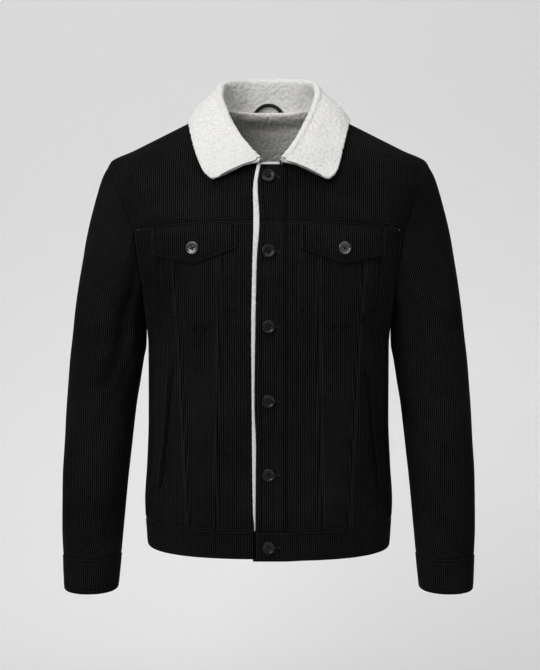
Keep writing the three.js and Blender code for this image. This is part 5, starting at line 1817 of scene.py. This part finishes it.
def collar_line(roll, seat, edge, steps, cut):
    out = unit((edge - roll) * (1, 1, 0))
    inside, outside = roll - COLLAR_ROLL_RADIUS * out, roll + COLLAR_ROLL_RADIUS * out
    foot = seat + COLLAR_FOOT * unit(inside - seat)
    corners = [foot, (foot + inside) / 2, inside]
    for turn in (135, 90, 45):
        angle = math.radians(turn)
        corners.append(roll + COLLAR_ROLL_RADIUS * (math.cos(angle) * out + math.sin(angle) * UP))
    corners.append(outside)
    for t in (0.25, 0.5, 0.75, 1):
        bow = t * (1 - t)
        corners.append(mix(outside, edge, t) + bow * (LEAF_UP * UP + LEAF_OUT * out))
    dense = np.array([through(corners, t) for t in np.linspace(0, 1, 121)])
    length = lengths_along(dense)
    return along_line(np.linspace(0, length[-1] - cut, steps), length, dense)


COLLAR_HALF_COUNT, COLLAR_STEPS = 130, 66


def fleece_slab(middle, half_thick, rim_steps=4):
    """A closed ring of points round each middle line: one side, over its end, the other side and back."""
    normal, along = surface_normals(middle), unit(np.gradient(middle, axis=1))
    turns = np.linspace(0, math.pi, rim_steps + 2)[1:-1, None]
    rims = []
    for end, sign in ((-1, 1), (0, -1)):
        n, a = normal[:, end][:, None] * sign, along[:, end][:, None] * sign
        rims.append(middle[:, end][:, None] + half_thick * (np.cos(turns) * n + 0.75 * np.sin(turns) * a))
    other_side = (middle - normal * half_thick)[:, ::-1]
    return np.concatenate([middle + normal * half_thick, rims[0], other_side, rims[1]], axis=1)


def close_ends(points, faces, rings, count):
    """Fans that close the first and last ring of a slab, with a slightly raised middle."""
    extra, fans, base = [], [], len(points)
    for number, ring in enumerate((0, rings - 1)):
        loop = np.arange(count) + ring * count
        neighbour = np.arange(count) + (1 if ring == 0 else ring - 1) * count
        centre = points[loop].mean(axis=0)
        push = unit((points[loop] - points[neighbour]).mean(axis=0)[:3]) * 1.2
        extra.append(centre + np.concatenate([push, [0.0]]))
        hub = base + number
        turned = np.roll(loop, -1)
        pairs = zip(loop, turned) if ring else zip(turned, loop)
        fans += [(a, b, hub, hub) for a, b in pairs]
    return np.concatenate([points, extra]), np.concatenate([faces, np.array(fans)])


# Soft folds of the fleece: along is a share from the wearer's left end to the right one, across a share
# from the neckline to the free edge, and a positive height swells towards the wearer.
FLEECE_FOLDS = table("along across long wide high", [
    (0.655, 0.2, 0.028, 0.16, -3.2), (0.6, 0.22, 0.03, 0.18, 2.2), (0.705, 0.26, 0.02, 0.14, 1.6),
    (0.355, 0.2, 0.022, 0.16, -2.4), (0.4, 0.24, 0.026, 0.2, 1.8), (0.47, 0.2, 0.05, 0.2, -1.4),
    (0.1, 0.62, 0.03, 0.2, 1.6), (0.16, 0.75, 0.03, 0.16, -1.8), (0.05, 0.8, 0.03, 0.14, -1.2),
    (0.86, 0.72, 0.04, 0.16, 1.4), (0.94, 0.6, 0.03, 0.2, -1.2),
    (0.3, 0.8, 0.05, 0.14, 1.5), (0.5, 0.78, 0.06, 0.15, -1.5), (0.68, 0.8, 0.05, 0.14, 1.2),
])


def fleece_folds(middle):
    """The middle lines moved in and out by the folds."""
    along = np.linspace(0, 1, middle.shape[0])[:, None]
    across = np.linspace(0, 1, middle.shape[1])[None, :]
    high = np.zeros(middle.shape[:2])
    for a, c, long, wide, rise in zip(*FLEECE_FOLDS.values()):
        high += rise * np.exp(-((along - a) / long) ** 2 - ((across - c) / wide) ** 2)
    return middle - surface_normals(middle) * high[..., None]


def make_collar():
    rng = np.random.default_rng(7)
    middle = fleece_folds(collar_lines(COLLAR_HALF_COUNT, COLLAR_STEPS))
    slab = fleece_slab(middle, FLEECE / 2 - 0.3)
    out = unit(np.cross(np.roll(slab, -1, axis=1) - np.roll(slab, 1, axis=1), np.gradient(slab, axis=0)))
    from_middle = slab - slab.mean(axis=1, keepdims=True)
    if (out * from_middle).sum(axis=-1).mean() < 0:
        out = -out
    nub = nub_heights(slab.transpose(1, 0, 2), rng, ring_rows=True).T
    grown = slab + out * (NUB_HIGH * (nub - 0.45))[..., None]
    rings, count = nub.shape
    faces = grid_faces(rings, count, ring=True)
    points, faces = close_ends(with_crest(grown, nub).reshape(-1, 4), faces, rings, count)
    piece = dress(make_mesh("collar_fleece_form", points, faces, COLLAR_FLEECE), "collar")
    return piece, grown, out, middle


collar, collar_points, collar_normals, collar_middle = make_collar()
across_collar = float(np.linalg.norm(np.diff(collar_middle, axis=0), axis=-1).sum(axis=0).max() * MM)
deep_collar = float(np.linalg.norm(np.diff(collar_middle, axis=1), axis=-1).sum(axis=1).max() * MM)
print("collar", round(across_collar, 3), "by", round(deep_collar, 3), "m")


# %% [markdown]
# ## Lining, fleece strip and curls
# The same fleece lines the back of the neck and shows as a narrow strip along the placket's edge, where the
# left front's lining is turned out. Both carry the collar's nubs and curls. Behind the neck the fleece
# swells into a ridge, where its top edge is turned in over the ends of the hanging loop.

# %% Lining and strip
LINING_EASE, LINING_DROP, LINING_HALF, LINING_LONG = 1.1, 0.6, 118.0, 92.0
STRIP_EDGE = table("z s", [
    (-87, -16.5), (-100, -19.2), (-120, -21.5), (-160, -20.8), (-230, -22.4), (-310, -23.7),
    (-450, -23), (-598, -21.4),
])
strip_edge = smooth_curve(STRIP_EDGE["z"], STRIP_EDGE["s"])
STRIP_ABOVE, STRIP_END_S = 2.8, 15.5
RIDGE_IN, RIDGE_UP, RIDGE_DEEP, RIDGE_ROUND = 10.5, 13.0, 12.0, 3.4
RIDGE_FULL, RIDGE_FADE = 60.0, 44.0
STRIP_CORNER, STRIP_TAPER, STRIP_THICK = 0.94, 25.0, 2.1


def fleece_wall(name, node, points, normals, inner, rng, high, material, lift=0.0):
    """A closed fleece wall with nubs on one face. The points of that face are given back."""
    nub = nub_heights(points, rng)
    rows, columns = nub.shape
    r, c = np.meshgrid(np.arange(rows), np.arange(columns), indexing="ij")
    edge = np.minimum(np.minimum(r, rows - 1 - r), np.minimum(c, columns - 1 - c))
    grown = points + normals * (high * (nub - 0.35) * np.clip(edge / 2, 0.2, 1) + lift)[..., None]
    inner = with_crest(inner)
    walls = close_wall(skin(with_crest(grown, nub)), skin(inner))
    piece = dress(make_mesh(name, *walls, material), node)
    state_cut(piece, inner)
    return grown


def lining_places(rows, columns):
    s = np.linspace(-LINING_HALF, LINING_HALF, columns)
    top = np.minimum(top_height("back", s), -HALF_GAP) - LINING_DROP
    bottom = top - LINING_LONG * (1 - 0.25 * (np.abs(s) / LINING_HALF) ** 2)
    z = mix(top, bottom, np.linspace(0, 1, rows)[:, None])
    return np.broadcast_to(s, z.shape), z


def ridge(s, z, share):
    """How far the fleece swells inwards and up where its top edge is turned in over the loop's ends."""
    below = np.minimum(top_height("back", s), -HALF_GAP) - LINING_DROP - z
    along = 1 - ease((np.abs(s) - RIDGE_FULL) / RIDGE_FADE)
    inward = -unit(body_normal("back", s, z) * (1, 1, 0))
    rounding = RIDGE_ROUND * np.exp(-below / RIDGE_ROUND)
    inside = (RIDGE_IN + 0.65 * below) * (1 - 0.3 * (s / RIDGE_FULL) ** 2)
    deep = share * inside * np.exp(-(below / RIDGE_DEEP) ** 4)
    high = share * RIDGE_UP * np.exp(-(below / RIDGE_DEEP) ** 2)
    return along[..., None] * ((deep - rounding)[..., None] * inward + (high - rounding)[..., None] * UP)


def make_lining():
    """Its nubs face the wearer, so its visible face is the inner one."""
    rng = np.random.default_rng(11)
    s, z = lining_places(58, 148)
    face = on_body("back", s, z, -CLOTH - LINING_EASE - LINING) + ridge(s, z, 1.0)
    coarse_s, coarse_z = lining_places(8, 24)
    hidden = on_body("back", coarse_s, coarse_z, -CLOTH - LINING_EASE) + ridge(coarse_s, coarse_z, 0.75)
    normals = -body_normal("back", s, z)
    grown = fleece_wall("lining_fleece_form", "lining_back_neck", face, normals, hidden, rng, 1.3,
                        LINING_FLEECE, lift=-0.6)
    curls = make_curls("lining_curls", grown, normals, 1400, rng)
    curls.data.materials[0] = LINING_FLEECE


def strip_places(u, v):
    """Places on the strip. v runs up the edge, then along the placket's top, and u runs outwards."""
    along = np.clip((v - STRIP_CORNER) / (1 - STRIP_CORNER), 0, 1)
    z = mix(HEM_SEAM_Z + 2, PLACKET_TOP_Z, np.minimum(1, v / STRIP_CORNER))
    edge = placket_edge(z) - SEAM_GAP
    wide = np.maximum(1, np.minimum(1, (z - HEM_SEAM_Z) / STRIP_TAPER) * (edge - strip_edge(z)))
    turned = ease(along * 3)
    cut_s, cut_z = mix(edge, STRIP_END_S, along), z + SEAM_GAP * (along > 0)
    out_s, out_z = mix(edge - wide, cut_s, turned), cut_z + STRIP_ABOVE * turned
    return mix(cut_s, out_s, u), mix(cut_z, out_z, u)


def strip_rows(up, over):
    """Shares v of rows: some up the edge, and some along the placket's top."""
    along_top = STRIP_CORNER + np.linspace(0.0, 1 - STRIP_CORNER, over)
    return np.concatenate([np.linspace(0, STRIP_CORNER, up), along_top[1:]])[:, None]


def make_strip():
    rng = np.random.default_rng(13)
    s, z = strip_places(np.linspace(0, 1, 9), strip_rows(380, 30))
    face, normals = on_body("front", s, z, PLACKET_LIFT - 0.4), body_normal("front", s, z)
    coarse_s, coarse_z = strip_places(np.linspace(0, 1, 3), strip_rows(40, 8))
    hidden = on_body("front", coarse_s, coarse_z, PLACKET_LIFT - 0.4 - STRIP_THICK)
    grown = fleece_wall("strip_fleece_form", "facing_left", face, normals, hidden, rng, 1.5, COLLAR_FLEECE)
    make_curls("strip_curls", grown, normals, 1600, rng, long=(1.2, 2.2))


make_lining()
make_strip()
make_curls("collar_curls", collar_points, collar_normals, 4400, np.random.default_rng(17))
print("triangles on lining and strip", TRIANGLES["lining_fleece_form"], TRIANGLES["strip_fleece_form"])

# %% [markdown]
# ## Hanging loop
# A coat hangs from a loop of narrow tape, stitched in at both ends behind the neck. It is a tube swept
# along an arch, a little flatter than round.

# %% Hanging loop
LOOP_RADIUS, LOOP_HALF, LOOP_RISE = 2.8, 21.5, 21.0
LOOP_Y, LOOP_FOOT, LOOP_BEND = 68.5, -9.0, 0.0035


def make_loop(steps=72, sides=16):
    """The tape's tube, with rounded ends."""
    angle = np.linspace(0, math.pi, steps)
    x = -LOOP_HALF * np.cos(angle)
    line = np.stack([x, LOOP_Y - LOOP_BEND * x * x, LOOP_FOOT + LOOP_RISE * np.sin(angle)], axis=-1)
    ahead = unit(np.gradient(line, axis=0))
    aside = unit(np.cross(ahead, (0, 1, 0)))
    front = np.cross(aside, ahead)
    turn = np.arange(sides) / sides * 2 * math.pi
    ribs = 1 + 0.03 * np.cos(3 * turn)
    thin = LOOP_RADIUS * np.interp(np.arange(steps), [0, 2, steps - 3, steps - 1], [0.75, 1, 1, 0.75])
    across, deep = (ribs * np.cos(turn))[:, None], (0.8 * ribs * np.sin(turn))[:, None]
    ring = aside[:, None] * across + front[:, None] * deep
    points = with_crest((line[:, None] + thin[:, None, None] * ring).reshape(-1, 3))
    points, faces = close_ends(points, grid_faces(steps, sides, ring=True), steps, sides)
    return dress(make_mesh("hanging_loop_tape", points, faces, TAPE), "hanging_loop")


make_loop()


# %% [markdown]
# ## Buttons
# The buttons are turned from one block, with a raised rim round a dished middle, and sewn on through four
# holes. The profile is spun round its axis and the holes are cut out with a boolean. Each is turned to face
# straight away from the cloth that it is sewn to. Its thread crosses between the holes.

# %% Buttons
BUTTON_RADIUS, BUTTON_THICK, BUTTON_STAND = 9.3, 3.6, 0.4
BUTTON_PROFILE = [
    (0.0, 0.0), (0.80, 0.0), (0.9, 0.05), (0.97, 0.2), (1.0, 0.42), (0.995, 0.62), (0.97, 0.8), (0.93, 0.92),
    (0.87, 0.985), (0.8, 0.97), (0.74, 0.88), (0.69, 0.77), (0.63, 0.7), (0.5, 0.67), (0.3, 0.66), (0.0, 0.655),
]
HOLE_RADIUS, HOLE_OUT = 1.15, 2.3


def lathe(profile, segments):
    """A closed solid of revolution round Z, in millimetres."""
    ring = np.arange(segments) / segments * 2 * math.pi
    rows = [np.stack([r * np.cos(ring), r * np.sin(ring), h + 0 * ring], axis=-1) for r, h in profile]
    return skin(np.array(rows), ring=True)


def make_button_mesh():
    """One button at the origin, its axis up Z, with its holes cut."""
    profile = [(r * BUTTON_RADIUS, h * BUTTON_THICK) for r, h in BUTTON_PROFILE]
    points, faces = lathe(profile, 72)
    body = make_mesh("button_body", points, faces, FRONT_BUTTON)
    pins = []
    for k in range(4):
        angle = math.pi / 4 + k * math.pi / 2
        pin_points, pin_faces = lathe([(0, -1), (HOLE_RADIUS, -1), (HOLE_RADIUS, 6), (0, 6)], 20)
        pin_points = pin_points + (HOLE_OUT * math.cos(angle), HOLE_OUT * math.sin(angle), 0)
        pins.append(make_mesh("hole_pin", pin_points, pin_faces, FRONT_BUTTON))
        cut = body.modifiers.new("hole", "BOOLEAN")
        cut.operation, cut.object, cut.solver = "DIFFERENCE", pins[-1], "EXACT"
    cut_mesh = bpy.data.meshes.new_from_object(body.evaluated_get(bpy.context.evaluated_depsgraph_get()))
    for helper in [body, *pins]:
        bpy.data.objects.remove(helper)
    cut_mesh.materials.clear()
    return cut_mesh


def thread_mesh():
    """The crossed threads of one button, as tubes from hole to hole, standing up from its dish."""
    tubes, floor = [], 0.66 * BUTTON_THICK
    middle = np.array([0.0, 0.0, floor + 0.9])
    for k in range(4):
        turn = math.pi / 4 + k * math.pi / 2
        hole = np.array([HOLE_OUT * math.cos(turn), HOLE_OUT * math.sin(turn), floor])
        for shift in (-0.3, 0.3):
            aside = unit(np.cross(middle - hole, UP))
            step = shift * aside
            line = [hole + step - UP, hole + step + 0.1 * UP, mix(hole, middle, 0.5) + step + 0.25 * UP,
                    middle + 0.4 * step]
            tubes.append([ring_round(place, aside, UP, 0.3, 6) for place in line])
    return np.array(tubes).reshape(-1, 3), tube_faces(4, 6, len(tubes))


BUTTON_MESH = make_button_mesh()
THREAD_POINTS, THREAD_FACES = thread_mesh()


def place_matrix(s, z, cloth_top, spin):
    """Carries a button from the origin to its place on the front, in metres."""
    place = Vector(on_body("front", s, z, cloth_top + BUTTON_STAND)) * MM
    lean = Vector(body_normal("front", s, z)).to_track_quat("Z", "Y").to_matrix().to_4x4()
    return Matrix.Translation(place) @ lean @ Matrix.Rotation(spin, 4, "Z")


def make_button(name, s, z, cloth_top, spin, finish):
    matrix = place_matrix(s, z, cloth_top, spin)
    mesh = BUTTON_MESH.copy()
    mesh.transform(matrix)
    mesh.shade_smooth()
    mesh.materials.append(finish)
    dress(link(name + "_turned", mesh), name)
    thread = make_mesh(name + "_thread", THREAD_POINTS, THREAD_FACES, HOLE_THREAD)
    thread.data.transform(matrix)
    dress(thread, None)


BUTTON_SPINS = (0.5, 0.1, 0.9, 0.3, 1.2, 0.7)
for number, (z, spin) in enumerate(zip(FRONT_BUTTON_HEIGHTS, BUTTON_SPINS), 1):
    make_button(f"front_button_{number}", 0.0, z, PLACKET_LIFT, spin, FRONT_BUTTON)
for name, side in SIDES.items():
    lift = float(flap_lift(FLAP_BUTTON_S, FLAP_BUTTON_Z))
    make_button("flap_button_" + name, side * FLAP_BUTTON_S, FLAP_BUTTON_Z, lift, 0.4 * side, FLAP_BUTTON)
print("triangles of one button", TRIANGLES["front_button_1_turned"])


# %% [markdown]
# ## Buttonholes and all the stitching
# A buttonhole is a slit whose two lips are covered in close thread. Those of the placket run across it, and
# the buttons sit at one end of them, so the other end shows. Those of the flaps run up and down. Last, all
# rows of topstitching that the panels asked for are made, one mesh for each region.

# %% Buttonholes and stitching
BAR_SHAPE = ((-0.08, 0.12), (0.15, 0.27), (0.85, 0.27), (1.08, 0.12))  # share of its length, and radius


def buttonhole_tubes(face_point, start, end, half_wide):
    """Close bars of thread on both lips from start to end, and a bar tack across the far end."""
    start, end = np.array(start, float), np.array(end, float)
    way = unit(end - start)
    aside = np.array([-way[1], way[0]])
    bars = [(start + way * at + aside * sign * 0.25, start + way * at + aside * sign * half_wide)
            for sign in (1, -1) for at in np.arange(0, np.linalg.norm(end - start), 0.55)]
    bars += [(end + way * at - aside * half_wide, end + way * at + aside * half_wide) for at in (0.0, 0.5, 1.0)]
    tubes = []
    for near, far in bars:
        (a, out), (b, _) = face_point(near), face_point(far)
        wide = np.cross(out, unit(b - a))
        tubes.append([ring_round(mix(a, b, share), wide, out, thick, 4) for share, thick in BAR_SHAPE])
    return tubes


def placket_point(place):
    """A place on the placket, and the way out of it."""
    edge = float(placket_edge(place[1]))
    share = (place[0] - edge) / (PLACKET_SEAM - edge)
    low, high = (placket_surface(share, place[1], PLACKET_LIFT + more) for more in (0.35, 1.35))
    return low, high - low


def flap_point(place, side):
    """A place on a flap, and the way out of it."""
    lift = float(flap_lift(*place)) + 0.35
    low, high = (on_body("front", side * place[0], place[1], lift + more) for more in (0, 1))
    return low, high - low


def make_buttonholes():
    """All buttonhole thread as short flat-lying tubes."""
    tubes = []
    for z in FRONT_BUTTON_HEIGHTS:
        tubes += buttonhole_tubes(placket_point, (8.5, z), (15.0, z - 0.5), 1.5)
    start, end = ((FLAP_BUTTON_S, FLAP_BUTTON_Z + more) for more in (8.8, 13))
    for side in SIDES.values():
        tubes += buttonhole_tubes(lambda place: flap_point(place, side), start, end, 1.4)
    points = np.array(tubes).reshape(-1, 3)
    return dress(make_mesh("buttonholes", points, tube_faces(4, 4, len(tubes)), HOLE_THREAD), None)


make_buttonholes()
for region in STITCH_ROWS:
    make_stitches(region)


# %% [markdown]
# ## Stage and light
# The jacket floats in front of an even pale grey sweep, as in a catalogue picture. From behind the paper is
# clear, so that the jacket's back can be looked at too. The light is broad and soft: a large key from the
# upper left in front, a weak fill from the right, two washes on the paper, and a faint even sky. The key
# stands to one side, so it grazes the dark cloth and shows its wales.

# %% Stage and light
WHITE_LEVEL = (0.7, 0.7, 0.7)
FLOOR_Z, WALL_Y, SWEEP = -1.1, 1.3, 0.6


def make_stage():
    """A floor that curves up into a wall behind the jacket."""
    turns = np.linspace(0, math.pi / 2, 13)
    curve = [(WALL_Y - SWEEP + SWEEP * math.sin(t), FLOOR_Z + SWEEP * (1 - math.cos(t))) for t in turns]
    profile = [(-6.0, FLOOR_Z), *curve, (WALL_Y, 5.0)]
    count = len(profile)
    mesh = bpy.data.meshes.new("sweep")
    mesh.from_pydata([(x, y, z) for x in (-7.0, 7.0) for y, z in profile], [],
                     [(i, i + count, i + count + 1, i + 1) for i in range(count - 1)])
    mesh.shade_smooth()
    paper, tree, shader = new_finish("backdrop_paper", 1.0, 0.0)
    grain = group_node(tree, FIBRE, Scale=300.0)
    light = tuple(level * 1.01 for level in WHITE_LEVEL)
    tree.links.new(blend_colours(tree, grain.outputs["Tips"], WHITE_LEVEL, light), shader.inputs["Base Color"])
    behind = add_node(tree, "ShaderNodeNewGeometry").outputs["Backfacing"]
    tree.links.new(maths(tree, "SUBTRACT", 1.0, behind), shader.inputs["Alpha"])
    mesh.materials.append(paper)
    link("sweep", mesh)


def add_light(name, place, aim, size, power):
    light = bpy.data.lights.new(name, "AREA")
    light.shape, light.size, light.size_y = "RECTANGLE", size[0], size[1]
    light.energy = power
    holder = link(name, light)
    holder.location = place
    holder.rotation_euler = (Vector(aim) - Vector(place)).to_track_quat("-Z", "Y").to_euler()


make_stage()
add_light("key", (-1.5, -2.2, 1.3), (0, 0, -0.35), (1.8, 1.8), 54)
add_light("fill", (2.0, -2.4, 0.2), (0, 0, -0.35), (2.0, 2.4), 5)
add_light("wall_wash", (0.4, -1.2, 2.6), (0.4, 1.3, 0.3), (4.0, 1.2), 58)
add_light("low_wash", (0.4, 0.35, -1.0), (0.3, 1.3, -0.75), (3.0, 0.15), 7)
world = bpy.data.worlds.new("studio")
world.use_nodes = True
world.node_tree.nodes["Background"].inputs["Color"].default_value = (1, 1, 1, 1)
world.node_tree.nodes["Background"].inputs["Strength"].default_value = 0.2
bpy.context.scene.world = world
bpy.context.scene.view_settings.view_transform = "Standard"

# %% [markdown]
# ## Camera
# The picture was taken from about chest height with a long lens, level with the jacket's own front. These
# numbers come from the collar's and the cuffs' places in it.

# %% Camera
camera = bpy.data.cameras.new("camera")
camera.lens = 74.5
camera.sensor_fit = "VERTICAL"
camera.sensor_height = camera.sensor_width = 36.0
viewer = link("camera", camera)
viewer.location = (0.002, -2.05, -0.173)
aim = Vector((0.002, 0, -0.331))
viewer.rotation_euler = (aim - viewer.location).to_track_quat("-Z", "Y").to_euler()
bpy.context.scene.camera = viewer

# %% [markdown]
# ## Sizes of the finished model
# The number of triangles in all pieces is printed. The dressed model may stand only a little proud of
# the solids' box.

print("triangles in all", sum(TRIANGLES.values()))
